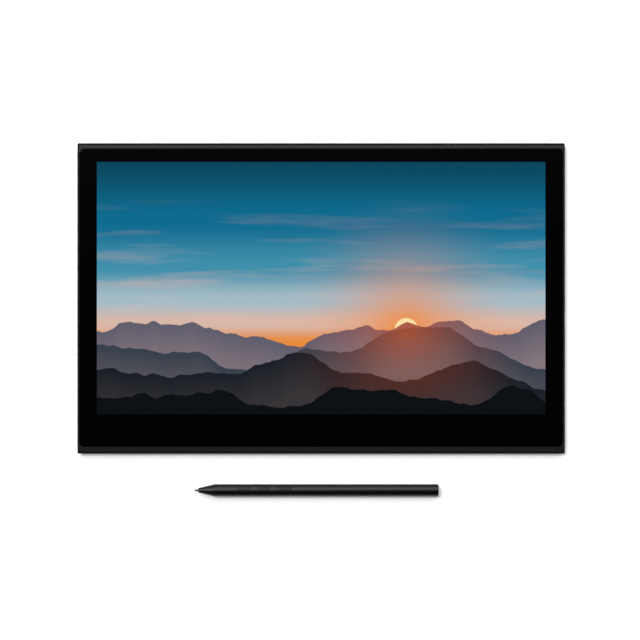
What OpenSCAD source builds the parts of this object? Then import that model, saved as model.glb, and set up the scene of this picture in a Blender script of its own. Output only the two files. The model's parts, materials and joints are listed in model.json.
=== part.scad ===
// Slim pen display with its battery-free pen, both lying flat on a desk.
// Millimetres. +X points right, +Y to the far edge, +Z up.
// The origin lies on the desk, under the middle of the set of tablet and pen.

/* [Screen] */
// Width of the picture area
active_w = 294.4; // [250:0.1:340]
// Depth of the picture area
active_d = 165.6; // [145:0.1:190]
// Black glass border beside the picture, left and right
border_side = 11.45; // [10.8:0.05:16]
// Black glass border beyond the picture's far edge
border_far = 8.8; // [8:0.1:14]
// Black glass border before the picture's near edge
border_near = 21.3; // [19:0.1:30]
// Corner radius of the cover glass
glass_r = 2.7; // [1:0.1:5]
// Thickness of the cover glass
glass_t = 0.7; // [0.5:0.05:1.1]
// Gap round the cover glass
glass_gap = 0.15; // [0.1:0.05:0.3]

/* [Display stack] */
// Thickness of the adhesive frame under the glass border
gasket_t = 0.2; // [0.1:0.05:0.4]
// Thickness of the clear bond between the glass and the panel
bond_t = 0.1; // [0.05:0.05:0.2]
// Thickness of the display panel
panel_t = 0.9; // [0.7:0.05:1.1]
// Edge of the panel round the picture
panel_margin = 1.8; // [1:0.1:2.5]
// Depth of the panel's near ledge, from the picture's edge
panel_ledge = 3.5; // [3:0.1:4.5]
// Thickness of the cushion sheet behind the panel
cushion_t = 0.1; // [0.05:0.05:0.2]
// Thickness of the pen-sensing board
digitizer_t = 0.4; // [0.3:0.05:0.5]
// Reach of the pen-sensing board past the picture
digitizer_margin = 3; // [2:0.1:3.2]
// Thickness of the magnetic shield sheet
shield_t = 0.1; // [0.05:0.05:0.2]
// Clearance round the display stack
stack_gap = 0.3; // [0.2:0.05:0.5]

/* [Mid frame] */
// Width of the rim at the left and right of the glass
rim_w = 1.2; // [1:0.1:2]
// Depth of the strip beyond the glass
strip_far = 3.5; // [2.5:0.1:6]
// Depth of the strip before the glass
strip_near = 4.5; // [3:0.1:7]
// Fall of the far strip towards its outer edge
slope_far = 0.8; // [0.3:0.1:1.1]
// Fall of the near strip towards its outer edge
slope_near = 0.9; // [0.3:0.1:1.1]
// How far the far and near strips stand back from the cover's outer edge
strip_back = 0.5; // [0.2:0.05:0.7]
// Corner radius of the body, seen from above
body_r = 0.7; // [0.4:0.1:3]
// Thickness of the seat that carries the glass
seat_t = 0.8; // [0.6:0.05:1.2]
// Width of the glass seat at the near side
seat_near = 4; // [3:0.1:5]
// Thickness of the tray's floor
floor_t = 0.8; // [0.7:0.05:1]
// Thickness of the tray's walls
tray_wall = 0.8; // [0.6:0.05:1]
// Height of the seam below the glass seat's top
seam_drop = 0.3; // [0.2:0.05:0.4]

/* [Rear cover] */
// Thickness of the cover's floor
cover_t = 0.8; // [0.7:0.05:1.2]
// Thickness of the cover's side walls
wall_t = 1; // [0.8:0.05:1.2]
// Gap between the cover's floor and the tray
cover_gap = 0.1; // [0.05:0.05:0.2]
// Gap between the cover's walls and the mid frame
seam_gap = 0.1; // [0.05:0.05:0.2]
// Depth of the raised electronics bay, from the far edge
spine_d = 52; // [48:0.5:70]
// Length of the ramp from the bay down to the slab
spine_ramp = 8; // [4:0.5:15]
// Bevel along the bay's lower edges
spine_bevel = 1.2; // [0.5:0.1:1.4]
// Bevel along the slab's lower edges
slab_bevel = 0.8; // [0.3:0.1:1]
// Length of the near foot rail
rail_l = 226; // [150:1:260]
// Width of the near foot rail's flat
rail_w = 8.4; // [7.5:0.1:12]
// Length of the near foot rail's flanks
rail_ramp = 3; // [1:0.1:5]
// Distance of the rail's middle from the near edge
rail_from_near = 12; // [11.5:0.1:13]
// Thickness of the wall ribs
rib_t = 0.8; // [0.6:0.1:1.2]
// Distance from rib to rib
rib_pitch = 34; // [20:1:60]

/* [Ports] */
// Width of a socket's shell
port_w = 8.94; // [8:0.01:10]
// Height of a socket's shell
port_h = 3.26; // [3:0.01:3.6]
// Length of a socket's shell
port_l = 7.35; // [6.5:0.01:7.5]
// Wall of a socket's shell
port_shell_t = 0.3; // [0.2:0.01:0.4]
// Width of a socket's tongue
tongue_w = 6.7; // [5.5:0.05:7.2]
// Thickness of a socket's tongue
tongue_t = 0.7; // [0.6:0.01:0.8]
// Distance of the tongue's end behind the mouth
tongue_recess = 0.9; // [0.5:0.05:1.5]
// Depth of the block that closes a socket's back
port_back = 2; // [1:0.1:2.5]
// Clearance above and below a socket
port_play = 0.12; // [0.08:0.01:0.2]
// Distance of the sockets from the far edge
port_from_far = 27; // [26:0.1:29]

/* [Power button] */
// Length of the button
button_l = 11.2; // [8:0.1:12]
// Height of the button
button_h = 2; // [1.6:0.1:2.4]
// How far the button stands out of the side
button_proud = 0.25; // [0.2:0.01:0.5]
// Travel of the button
button_travel = 0.25; // [0.15:0.01:0.4]
// Clearance round the button in its slot
button_play = 0.12; // [0.08:0.01:0.2]
// Thickness of the button's inner flange
button_flange = 0.5; // [0.4:0.05:0.7]
// Distance of the button from the far edge
button_from_far = 43.9; // [42:0.1:46]

/* [Boards] */
// Thickness of the circuit boards
board_t = 0.8; // [0.6:0.05:1]
// Height of the posts under the boards
post_h = 0.4; // [0.3:0.05:0.6]
// Width of the main board
board_w = 240; // [200:1:250]
// Depth of the main board
board_d = 27; // [22:0.5:29]
// Distance of the main board from the far edge
board_from_far = 18.5; // [18.3:0.1:20]
// Gap between the main board and a port board
board_gap = 4; // [2:0.1:6]
// Reach of a port board past a socket's middle
port_board_end = 8.5; // [7.5:0.1:8.6]
// Depth of the driver board in the near border
driver_d = 7.4; // [5:0.1:8]
// Width of the driver board
driver_w = 210; // [150:1:260]
// Thickness of the driver board
driver_t = 0.6; // [0.4:0.05:0.7]
// Thickness of the flat cables
flex_t = 0.15; // [0.1:0.01:0.2]
// Width of the display and digitizer cables
flex_w = 24; // [12:0.5:36]
// Thickness of the thermal pad
pad_t = 0.25; // [0.15:0.05:0.35]
// Wall of the shield can
can_wall = 0.15; // [0.1:0.01:0.2]

/* [Feet and screws] */
// Height that the feet stand below the cover
foot_proud = 0.6; // [0.4:0.05:1.5]
// Depth of the feet's recesses
foot_seat = 0.3; // [0.2:0.05:0.4]
// Width of the far foot strip
foot_far_w = 8; // [7:0.1:8.5]
// Length of the far foot strip
foot_far_l = 268; // [250:1:290]
// Distance of the far foot strip from the far edge
foot_from_far = 14; // [13:0.1:14.3]
// Width of the near foot strip
foot_near_w = 6.8; // [6:0.1:7]
// Bevel along the feet's lower edge
foot_bevel = 0.3; // [0.1:0.05:0.4]
// Clearance of the feet in their recesses
foot_play = 0.1; // [0.05:0.05:0.2]
// Diameter of a cover screw's shank
screw_d = 1.6; // [1.2:0.1:2]
// Diameter of a cover screw's head
head_d = 3.4; // [3:0.1:4]
// Height of a cover screw's head
head_h = 0.5; // [0.4:0.05:0.6]
// Distance from one far cover screw to the next
screw_pitch_far = 80; // [70:1:82]
// Distance from one near cover screw to the next
screw_pitch_near = 66; // [55:1:68]
// Clearance round a screw's shank
screw_play = 0.06; // [0.04:0.01:0.1]

/* [Pen] */
// Length of the pen with its nib
pen_len = 160.6; // [150:0.1:175]
// Diameter of the pen
pen_d = 8.2; // [7.8:0.1:9]
// Gap between the tablet and the pen on the desk
pen_gap = 20.1; // [10:0.1:40]
// Offset of the pen's middle from the tablet's middle
pen_shift = -3.2; // [-20:0.1:20]
// Roll of the pen's switches from straight up to the far side
pen_roll = 22; // [0:1:45]
// Wall of the barrel
pen_wall = 0.9; // [0.8:0.05:1]
// Length of the nib that shows
nib_show = 2.8; // [2:0.1:3.5]
// Diameter of the nib
nib_d = 1.4; // [1:0.05:1.6]
// Travel of the nib
nib_travel = 0.4; // [0.2:0.05:0.5]
// Length of the nose cone
cone_l = 10.6; // [9.5:0.1:12]
// Diameter of the nose cone's tip
nose_d = 3; // [2.4:0.05:3.4]
// Length of the spigot behind the nose cone
cone_spigot = 6; // [5.5:0.1:7]
// Length of the end cap that shows
cap_l = 8; // [5:0.5:12]
// Length of the end cap's spigot
cap_spigot = 9; // [7:0.5:12]
// Rounding of the pen's rear edge
cap_round = 0.7; // [0.3:0.05:1.2]
// Depth of the flat that carries the side switches
flat_depth = 0.16; // [0.12:0.01:0.2]
// Run-out in front of the flat
flat_ramp = 4; // [2:0.1:5]
// Length of the notch behind the flat
notch_l = 0.8; // [0.6:0.1:1.2]
// Depth of the notch below the flat
notch_depth = 0.35; // [0.2:0.05:0.4]
// Distance of the middle switch from the nib's tip
switch_from_tip = 45.9; // [45.5:0.1:50]
// Distance from one side switch to the next
switch_pitch = 12.4; // [12:0.1:12.8]
// Length of a side switch
switch_l = 7.4; // [6:0.1:7.6]
// Width of a side switch
switch_w = 2.2; // [1.8:0.1:2.3]
// How far a side switch stands above the flat
switch_proud = 0.15; // [0.1:0.01:0.3]
// Radius of a switch's crown
switch_crown = 8; // [5:0.5:12]
// Travel of a side switch
switch_travel = 0.2; // [0.1:0.01:0.25]
// Clearance round a side switch
switch_play = 0.15; // [0.1:0.01:0.2]
// Width of the window in the barrel
window_w = 3.4; // [3.2:0.1:3.6]
// Thickness of the switch bezel
bezel_t = 1.98; // [1.9:0.02:2.04]
// Length of a nub between two switches
nub_l = 4; // [3:0.1:4.2]
// Width of a nub
nub_w = 2; // [1.6:0.1:2.2]
// Height of a nub above the flat
nub_h = 0.4; // [0.3:0.05:0.5]

/* [Hidden] */
$fn = 64;

// Overshoot of a cutting solid past the face that it cuts
cut = 0.5;
// Depth to which a boss or rib is rooted in the wall that it stands on
root = 0.2;
left = -1;
right = 1;

// Plan sizes of the tablet
glass_w = active_w + 2 * border_side;
glass_d = active_d + border_far + border_near;
body_w = glass_w + 2 * (glass_gap + rim_w);
body_d = glass_d + 2 * glass_gap + strip_far + strip_near;
half_w = body_w / 2;

// Places along Y
set_d = body_d + pen_gap + pen_d;
y_far = set_d / 2;
y_near = y_far - body_d;
y_body = (y_far + y_near) / 2;
y_glass = y_far - strip_far - glass_gap - glass_d / 2;
y_active_far = y_far - strip_far - glass_gap - border_far;
y_active_near = y_active_far - active_d;
y_active = (y_active_far + y_active_near) / 2;
y_tray_far = y_active_far + digitizer_margin + stack_gap;
y_tray_near = y_near + strip_near + glass_gap + seat_near;
y_tray = (y_tray_far + y_tray_near) / 2;
y_ramp = y_far - spine_d;
y_rail = y_near + rail_from_near;
y_foot_far = y_far - foot_from_far;
y_port = y_far - port_from_far;
y_button = y_far - button_from_far;
y_board_far = y_far - board_from_far;
y_board_near = y_board_far - board_d;
y_board = (y_board_far + y_board_near) / 2;
digitizer_slot_gap = 1;
y_digitizer_slot = y_board_far + digitizer_slot_gap;
tray_w = active_w + 2 * (digitizer_margin + stack_gap);
tray_d = y_tray_far - y_tray_near;

// Heights above the desk, from the feet up to the glass and down again through the stack
z_cover = foot_proud;
z_bay = z_cover + cover_t;
z_port = z_bay + port_play + port_h / 2;
z_seat_under = z_port + port_h / 2 + port_play;
z_seat = z_seat_under + seat_t;
z_seam = z_seat - seam_drop;
z_glass = z_seat + gasket_t;
z_top = z_glass + glass_t;
z_panel = z_glass - bond_t - panel_t;
z_cushion = z_panel - cushion_t;
z_digitizer = z_cushion - digitizer_t;
z_shield = z_digitizer - shield_t;
z_floor = z_shield - floor_t;
z_slab = z_floor - cover_gap - cover_t;
z_button = (z_cover + z_seam) / 2;

// Cover screws: heads sit in the floor of the foot recesses
z_head = z_cover + foot_seat;
z_web = z_head + head_h;
screw_web = 0.6;
z_boss = z_web + screw_web;
boss_wall = 1;
boss_d = head_d + 2 * boss_wall;
near_boss_d = screw_d + 2 * boss_wall;
standoff_wall = 1.3;
standoff_d = screw_d + 2 * standoff_wall;
near_boss_h = 0.9;
thread_end = 0.2;
rail_end = 2;
foot_near_l = rail_l - 2 * (rail_ramp + rail_end);
screw_row = [-1.5:1.5];
far_screws = [for (i = screw_row) [i * screw_pitch_far, y_foot_far]];
near_screws = [for (i = screw_row) [i * screw_pitch_near, y_rail]];

// Boards in the bay
z_board = z_bay + post_h;
z_board_top = z_board + board_t;
board_r = 1;
bay_clear = 0.15;
connector_h = z_floor - z_board_top - flex_t - bay_clear;
connector_d = 3;
connector_edge = 1;
connector_side = 1;
z_flex = z_board_top + connector_h;
can_w = 64;
can_d = 16;
can_h = z_floor - z_board_top - pad_t;
chip_clear = 0.05;
chip_h = can_h - can_wall - chip_clear;
chip_pitch = 20;
chip_w = 13;
post_d = 4;
board_screw_d = 1.4;
board_head_d = 2.6;
board_head_h = 0.35;
post_inset = 5;
hole_play = 0.2;
display_cable_x = -60;
digitizer_cable_x = 60;
port_cable_w = 12;
cable_overlap = connector_d + connector_edge;
slot_play = 0.5;
channel_room = 0.2;
channel_h = flex_t + channel_room;
channel_play = 0.5;

// Port boards
port_mouth_gap = 0.05;
x_port_mouth = half_w - wall_t - port_mouth_gap;
x_port_back = x_port_mouth - port_l;
board_edge_gap = 2.2;
x_port_board_out = half_w - wall_t - board_edge_gap;
x_port_board_in = board_w / 2 + board_gap;
port_notch_play = 0.3;
mouth_play = 0.15;
button_board_end = 6;
x_post = x_port_board_in + 2 * cable_overlap;

// Power switch; the button's stem ends a little more than its travel short of it
switch_overhang = 0.3;
switch_rest_gap = 0.05;
power_switch_d = 3;
power_switch_w = 4;
switch_face_x = -x_port_board_out - switch_overhang;
button_stem_end = switch_face_x - button_travel - switch_rest_gap;

// Driver board in the near border
driver_gap = 0.6;
y_driver_far = y_active_near - max(panel_ledge, digitizer_margin) - driver_gap;
y_driver = y_driver_far - driver_d / 2;
z_driver_top = z_shield + driver_t;
film_t = 0.1;
film_w = 30;
film_count = 4;
film_pitch = driver_w / film_count;
film_land = 2;

main_posts = [
    for (x = [-1, 1], y = [-1, 1])
        [x * (board_w / 2 - post_inset), y_board + y * (board_d / 2 - post_inset)]
];
right_posts = [for (y = [-1, 1]) [x_post, y_port + y * (port_board_end - post_inset / 2)]];
left_posts = [
    [-x_post, y_port + port_board_end - post_inset / 2],
    [-x_post, y_button - button_board_end + post_inset / 2]
];
board_posts = concat(main_posts, right_posts, left_posts);

// Pen, measured from the nib's tip along its axis; the switches face +Z before the roll
pen_r = pen_d / 2;
pen_in_r = pen_r - pen_wall;
pen_tip_x = pen_shift - pen_len / 2;
y_pen = pen_r - set_d / 2;
pen_fit = 0.04;
pen_seam = 0.1;
nib_r = nib_d / 2;
nib_play = 0.08;
s_cone = nib_show + cone_l;
s_cap = pen_len - cap_l;
s_spigot = s_cone + cone_spigot;
core_r = 1.7;
coil_t = 0.45;
coil_gap = 0.03;
coil_room = 0.25;
cavity_r = core_r + coil_t + coil_room;
cavity_share = 0.65;
s_cavity = nib_show + cone_l * cavity_share;
core_gap = 0.2;
s_core = s_cavity + core_gap;
core_l = 7.8;
coil_inset = 1;
holder_r = 1.2;
holder_gap = 0.6;
s_holder = s_core + core_l + holder_gap;
holder_l = 4.4;
holder_floor = 1;
nib_l = s_holder + holder_l - holder_floor;
sensor_gap = 0.15;
s_sensor = s_holder + holder_l + nib_travel + sensor_gap;
sensor_l = 5;
carrier_gap = 0.3;
s_carrier = s_spigot + carrier_gap;
carrier_wall = 0.8;
carrier_r = pen_in_r - pen_fit;
trough_r = carrier_r - carrier_wall;
pen_board_t = 0.6;
pen_board_w = 5.4;
pen_board_gap = 0.4;
s_board = s_sensor + sensor_l + pen_board_gap;
pen_board_tail = 18;
s_board_end = switch_from_tip + switch_pitch + pen_board_tail;
carrier_tail = 3;
s_carrier_end = s_board_end + carrier_tail;
carrier_plug = 1.5;
flat_z = pen_r - flat_depth;
window_end = 0.6;
window_l = 2 * (switch_pitch + window_end) + switch_l;
window_r = 1;
flat_end = 0.3;
flat_l = window_l + 2 * flat_end;
z_bezel = flat_z - bezel_t;
bezel_lip = 0.4;
bezel_lip_end = 0.6;
bezel_lip_l = window_l + 2 * bezel_lip_end;
lip_play = 0.05;
bezel_lip_w = 2 * sqrt(pow(carrier_r - lip_play, 2) - pow(z_bezel + bezel_lip, 2));
switch_flange_t = 0.4;
switch_flange_edge = 0.35;
z_switch_flange = z_bezel - switch_rest_gap - switch_flange_t;
pusher_h = 0.15;
pusher_d = 1.4;
z_pusher = z_switch_flange - pusher_h;
dome_d = 3;
dome_h = z_pusher - switch_travel - switch_rest_gap - pen_board_t;
switch_r = 0.7;
nub_end_share = 0.4;
spare_nib_l = 20;
spare_nib_seat = 6;
spare_nib_ring = 1.6;
spare_nib_count = 3;

// Plan outline with round corners, about the origin
module rounded_rect(w, d, r) {
    square([w - 2 * r, d], center = true);
    square([w, d - 2 * r], center = true);
    for (x = [-1, 1], y = [-1, 1]) translate([x * (w / 2 - r), y * (d / 2 - r)]) circle(r);
}

// Slot outline with round ends
module stadium(w, h) {
    square([w - h, h], center = true);
    for (x = [-1, 1]) translate([x * (w - h) / 2, 0]) circle(d = h);
}

// Plain box between two levels, about a point
module block(x, y, w, d, z0, z1) {
    translate([x - w / 2, y - d / 2, z0]) cube([w, d, z1 - z0]);
}

// Upright cylinder between two levels
module post(at, d, z0, z1) {
    translate([at[0], at[1], z0]) cylinder(h = z1 - z0, d = d);
}

// Outline in Y and Z, drawn out along +X from x0
module along_x(x0, l) {
    translate([x0, 0, 0]) rotate([90, 0, 90]) linear_extrude(l) children();
}

// Outline in X and Z, drawn out along +Y from y0
module along_y(y0, l) {
    translate([0, y0 + l, 0]) rotate([90, 0, 0]) linear_extrude(l) children();
}

// The right-hand piece, or its mirror image on the left
module on_side(side) {
    if (side == right) children();
    else mirror([1, 0, 0]) children();
}

// Flat plate over the picture area, reaching past it by a margin
module stack_plate(margin, z, t) {
    block(0, y_active, active_w + 2 * margin, active_d + 2 * margin, z, z + t);
}

// Strip with round ends and a bevelled lower edge, lying along X with its underside at z = 0
module foot_strip(l, w, h, bevel) {
    outline = [[0, 0], [w / 2 - bevel, 0], [w / 2, bevel], [w / 2, h], [0, h]];
    along_x(-(l - w) / 2, l - w) union() {
        polygon(outline);
        mirror([1, 0]) polygon(outline);
    }
    for (x = [-1, 1]) translate([x * (l - w) / 2, 0, 0]) rotate_extrude() polygon(outline);
}

// Screen and its stack

module cover_glass() {
    color("black")
        translate([0, y_glass, z_glass])
            linear_extrude(glass_t)
                rounded_rect(glass_w, glass_d, glass_r);
}

module glass_gasket() {
    color("dimgray")
        difference() {
            translate([0, y_glass, z_seat])
                linear_extrude(gasket_t)
                    rounded_rect(glass_w - 2 * stack_gap, glass_d - 2 * stack_gap, glass_r - stack_gap);
            block(0, y_tray, tray_w + 2 * stack_gap, tray_d + 2 * stack_gap, z_seat - cut, z_glass + cut);
        }
}

module optical_bond() {
    color("lightcyan") stack_plate(panel_margin, z_glass - bond_t, bond_t);
}

// The lower glass of the panel reaches past the upper one at the near side and carries the films there
module display_panel() {
    upper_near = y_active_near - panel_margin;
    ledge_near = y_active_near - panel_ledge;
    panel_far = y_active_far + panel_margin;
    ledge_top = z_panel + panel_t / 2;
    panel_w = active_w + 2 * panel_margin;
    color("midnightblue")
        along_x(-panel_w / 2, panel_w)
            polygon([
                [ledge_near, z_panel], [panel_far, z_panel], [panel_far, z_panel + panel_t],
                [upper_near, z_panel + panel_t], [upper_near, ledge_top], [ledge_near, ledge_top]
            ]);
}

module panel_cushion() {
    color("dimgray") stack_plate(panel_margin, z_cushion, cushion_t);
}

module digitizer_board() {
    color("darkgreen") stack_plate(digitizer_margin, z_digitizer, digitizer_t);
}

module shield_sheet() {
    color("silver")
        difference() {
            stack_plate(digitizer_margin, z_shield, shield_t);
            digitizer_slot();
        }
}

// Frame and cover

// Slot under the pen-sensing board for its cable, just beyond the main board's far edge
module digitizer_slot() {
    block(digitizer_cable_x, y_digitizer_slot, flex_w + 2 * slot_play, flex_t + 2 * slot_play,
        z_floor - cut, z_digitizer + cut);
}

// Rim block with the far and near strips falling towards the outer edges
module frame_rim() {
    intersection() {
        along_x(-half_w, body_w)
            polygon([
                [y_near + strip_back, z_seam], [y_far - strip_back, z_seam],
                [y_far - strip_back, z_top - slope_far], [y_far - strip_far, z_top],
                [y_near + strip_near, z_top], [y_near + strip_back, z_top - slope_near]
            ]);
        translate([0, y_body, z_seam]) linear_extrude(z_top - z_seam) rounded_rect(body_w, body_d, body_r);
    }
}

// Magnesium frame: rim, glass seat, tray for the display stack, and standoffs for the cover screws
module mid_frame() {
    color("dimgray")
        difference() {
            union() {
                frame_rim();
                block(0, y_body, body_w - 2 * (wall_t + seam_gap), body_d - 2 * (wall_t + seam_gap),
                    z_seat_under, z_seat);
                block(0, y_tray, tray_w + 2 * tray_wall, tray_d + 2 * tray_wall, z_floor, z_seat);
                for (p = far_screws) post(p, standoff_d, z_boss + screw_play, z_floor + root);
            }
            translate([0, y_glass, z_seat])
                linear_extrude(z_top)
                    rounded_rect(glass_w + 2 * glass_gap, glass_d + 2 * glass_gap, glass_r + glass_gap);
            difference() {
                block(0, y_tray, tray_w, tray_d, z_shield, z_seat + cut);
                for (p = near_screws) post(p, near_boss_d, z_shield - cut, z_shield + near_boss_h);
            }
            for (p = far_screws) post(p, screw_d + 2 * screw_play, z_boss - cut, z_floor);
            for (p = near_screws) post(p, screw_d + 2 * screw_play, z_floor - cut, z_seat);
            digitizer_slot();
            display_channel();
            for (side = [left, right]) on_side(side) port_relief();
        }
}

// Room for a socket beside the tray
module port_relief() {
    block(half_w - (half_w - x_port_back + port_notch_play) / 2, y_port,
        half_w - x_port_back + port_notch_play, port_w + 2 * port_notch_play,
        z_floor - cut, z_port + port_h / 2 + port_play / 2);
}

// Slot and shallow channel under the tray for the display cable
module display_channel() {
    channel_w = flex_w + 2 * channel_play;
    block(display_cable_x, y_driver, channel_w, flex_t + 2 * slot_play, z_floor - cut, z_shield + cut);
    block(display_cable_x, (y_driver - slot_play + y_board_near) / 2, channel_w,
        y_board_near - y_driver + slot_play, z_floor - cut, z_floor + channel_h);
}

// Side view of the rear cover: slab, ramp and bay; raise and inset give its inside
function cover_outline(raise, inset) = [
    [y_near + inset, z_seam + raise],
    [y_near + inset, z_slab + slab_bevel + raise],
    [y_near + inset + slab_bevel, z_slab + raise],
    [y_ramp - spine_ramp, z_slab + raise],
    [y_ramp, z_cover + raise],
    [y_far - inset - spine_bevel, z_cover + raise],
    [y_far - inset, z_cover + spine_bevel + raise],
    [y_far - inset, z_seam + raise]
];

// Outside of the rear cover, with its bevels and its corner rounding
module cover_body() {
    difference() {
        intersection() {
            along_x(-half_w, body_w) polygon(cover_outline(0, 0));
            along_y(y_near, body_d)
                polygon([
                    [-half_w, z_seam], [-half_w, z_cover + spine_bevel], [spine_bevel - half_w, z_cover],
                    [half_w - spine_bevel, z_cover], [half_w, z_cover + spine_bevel], [half_w, z_seam]
                ]);
            translate([0, y_body, 0]) linear_extrude(z_top) rounded_rect(body_w, body_d, body_r);
        }
        for (side = [left, right])
            on_side(side)
                along_y(y_near, y_ramp - spine_ramp - y_near)
                    polygon([
                        [half_w - slab_bevel, z_slab], [half_w + cut, z_slab - cut],
                        [half_w + cut, z_slab + slab_bevel + cut]
                    ]);
    }
}

// Rail on the slab's underside that carries the near foot at the bay's level
module foot_rail() {
    intersection() {
        along_x(-rail_l / 2, rail_l)
            polygon([
                [y_rail - rail_w / 2 - rail_ramp, z_slab + root], [y_rail - rail_w / 2 - rail_ramp, z_slab],
                [y_rail - rail_w / 2, z_cover], [y_rail + rail_w / 2, z_cover],
                [y_rail + rail_w / 2 + rail_ramp, z_slab], [y_rail + rail_w / 2 + rail_ramp, z_slab + root]
            ]);
        along_y(y_near, body_d)
            polygon([
                [-rail_l / 2, z_slab + root], [-rail_l / 2, z_slab], [rail_ramp - rail_l / 2, z_cover],
                [rail_l / 2 - rail_ramp, z_cover], [rail_l / 2, z_slab], [rail_l / 2, z_slab + root]
            ]);
    }
}

// Ribs between the far wall, or the near wall, and the tray
module wall_ribs() {
    rib_top = z_seat_under - seam_gap;
    far_d = y_far - wall_t + root - (y_tray_far + tray_wall + seam_gap);
    near_d = y_tray_near - tray_wall - seam_gap - (y_near + wall_t - root);
    rib_span = body_w / 2 - 2 * wall_t - port_l;
    for (x = [rib_pitch / 2 : rib_pitch : rib_span], side = [-1, 1]) {
        block(side * x, y_far - wall_t + root - far_d / 2, rib_t, far_d, z_bay - root, rib_top);
        block(side * x, y_near + wall_t - root + near_d / 2, rib_t, near_d, z_slab + cover_t - root, rib_top);
    }
}

// Bay tub of the tablet: slab floor, ramp, bay, foot rail, bosses, ribs and openings in the side walls
module rear_cover() {
    color("#202226")
        difference() {
            union() {
                difference() {
                    cover_body();
                    along_x(wall_t - half_w, body_w - 2 * wall_t) polygon(cover_outline(cover_t, wall_t));
                }
                foot_rail();
                wall_ribs();
                for (p = far_screws) post(p, boss_d, z_bay - root, z_boss);
                for (p = board_posts) post(p, post_d, z_bay - root, z_board);
            }
            for (p = concat(far_screws, near_screws)) {
                post(p, head_d + 2 * screw_play, z_cover - cut, z_web);
                post(p, screw_d + 2 * screw_play, z_cover, z_floor);
            }
            for (p = board_posts) post(p, board_screw_d + 2 * screw_play, z_bay - thread_end, z_board + cut);
            translate([0, y_foot_far, z_cover - cut])
                foot_strip(foot_far_l + 2 * foot_play, foot_far_w + 2 * foot_play, foot_seat + cut, 0);
            translate([0, y_rail, z_cover - cut])
                foot_strip(foot_near_l + 2 * foot_play, foot_near_w + 2 * foot_play, foot_seat + cut, 0);
            for (side = [left, right]) on_side(side) port_mouth();
            button_slot();
        }
}

// Opening in a side wall in front of a socket
module port_mouth() {
    translate([0, y_port, z_port])
        along_x(half_w - wall_t - cut, wall_t + 2 * cut)
            stadium(port_w - 2 * port_shell_t + 2 * mouth_play, port_h - 2 * port_shell_t + 2 * mouth_play);
}

// Opening in the left wall for the power button
module button_slot() {
    translate([0, y_button, z_button])
        along_x(-half_w - cut, wall_t + 2 * cut)
            stadium(button_l + 2 * button_play, button_h + 2 * button_play);
}

// Boards, cables and sockets

module main_board() {
    color("darkgreen")
        difference() {
            translate([0, y_board, z_board]) linear_extrude(board_t) rounded_rect(board_w, board_d, board_r);
            for (p = main_posts) post(p, board_screw_d + 2 * hole_play, z_board - cut, z_board_top + cut);
        }
}

module board_chips() {
    color("#1b1b1e")
        for (i = [-1:1])
            block(i * chip_pitch, y_board, chip_w, chip_w, z_board_top, z_board_top + chip_h);
}

module shield_can() {
    color("silver")
        difference() {
            block(0, y_board, can_w, can_d, z_board_top, z_board_top + can_h);
            block(0, y_board, can_w - 2 * can_wall, can_d - 2 * can_wall,
                z_board_top - cut, z_board_top + can_h - can_wall);
        }
}

module thermal_pad() {
    color("lightslategray") block(0, y_board, can_w, can_d, z_floor - pad_t, z_floor);
}

// Flat-cable connectors on the main board and the port boards
module flex_connectors() {
    edge = connector_edge + connector_d / 2;
    display_w = flex_w + 2 * connector_side;
    port_side_w = port_cable_w + 2 * connector_side;
    color("#e8e4d8") {
        block(display_cable_x, y_board_near + edge, display_w, connector_d, z_board_top, z_flex);
        block(digitizer_cable_x, y_board_far - edge, display_w, connector_d, z_board_top, z_flex);
        for (side = [left, right]) {
            for (x = [board_w / 2 - edge, x_port_board_in + edge])
                block(side * x, y_board, connector_d, port_side_w, z_board_top, z_flex);
        }
    }
}

module driver_board() {
    color("darkgreen")
        difference() {
            block(0, y_driver, driver_w, driver_d, z_shield, z_driver_top);
            for (p = near_screws) post(p, near_boss_d + 2 * hole_play, z_shield - cut, z_driver_top + cut);
        }
}

// Thin films that carry the drivers, from the panel's ledge down to the driver board
module driver_films() {
    ledge_top = z_panel + panel_t / 2;
    path = [
        [y_active_near - panel_margin - film_t, ledge_top], [y_active_near - panel_ledge, ledge_top],
        [y_driver_far, z_driver_top], [y_driver_far - film_land, z_driver_top]
    ];
    color("saddlebrown")
        for (i = [0 : film_count - 1])
            along_x((i - (film_count - 1) / 2) * film_pitch - film_w / 2, film_w)
                polygon(concat(path, [for (j = [3:-1:0]) path[j] + [0, film_t]]));
}

// Flat cable from under the driver board, along the tray's channel, to the main board
module display_cable() {
    z_run = z_floor + (channel_h - flex_t) / 2;
    y_land = y_board_near + connector_edge;
    y_end = y_land + connector_d;
    color("saddlebrown")
        along_x(display_cable_x - flex_w / 2, flex_w)
            polygon([
                [y_driver - flex_t / 2, z_shield], [y_driver - flex_t / 2, z_run],
                [y_ramp - flex_t, z_run], [y_land, z_flex], [y_end, z_flex], [y_end, z_flex + flex_t],
                [y_land, z_flex + flex_t], [y_ramp, z_run + flex_t],
                [y_driver + flex_t / 2, z_run + flex_t], [y_driver + flex_t / 2, z_shield]
            ]);
}

// Flat cable from under the pen-sensing board, through the tray, to the main board
module digitizer_cable() {
    y_end = y_board_far - connector_edge - connector_d;
    color("saddlebrown")
        along_x(digitizer_cable_x - flex_w / 2, flex_w)
            polygon([
                [y_digitizer_slot + flex_t / 2, z_digitizer], [y_digitizer_slot + flex_t / 2, z_flex],
                [y_end, z_flex], [y_end, z_flex + flex_t],
                [y_digitizer_slot - flex_t / 2, z_flex + flex_t], [y_digitizer_slot - flex_t / 2, z_digitizer]
            ]);
}

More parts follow.
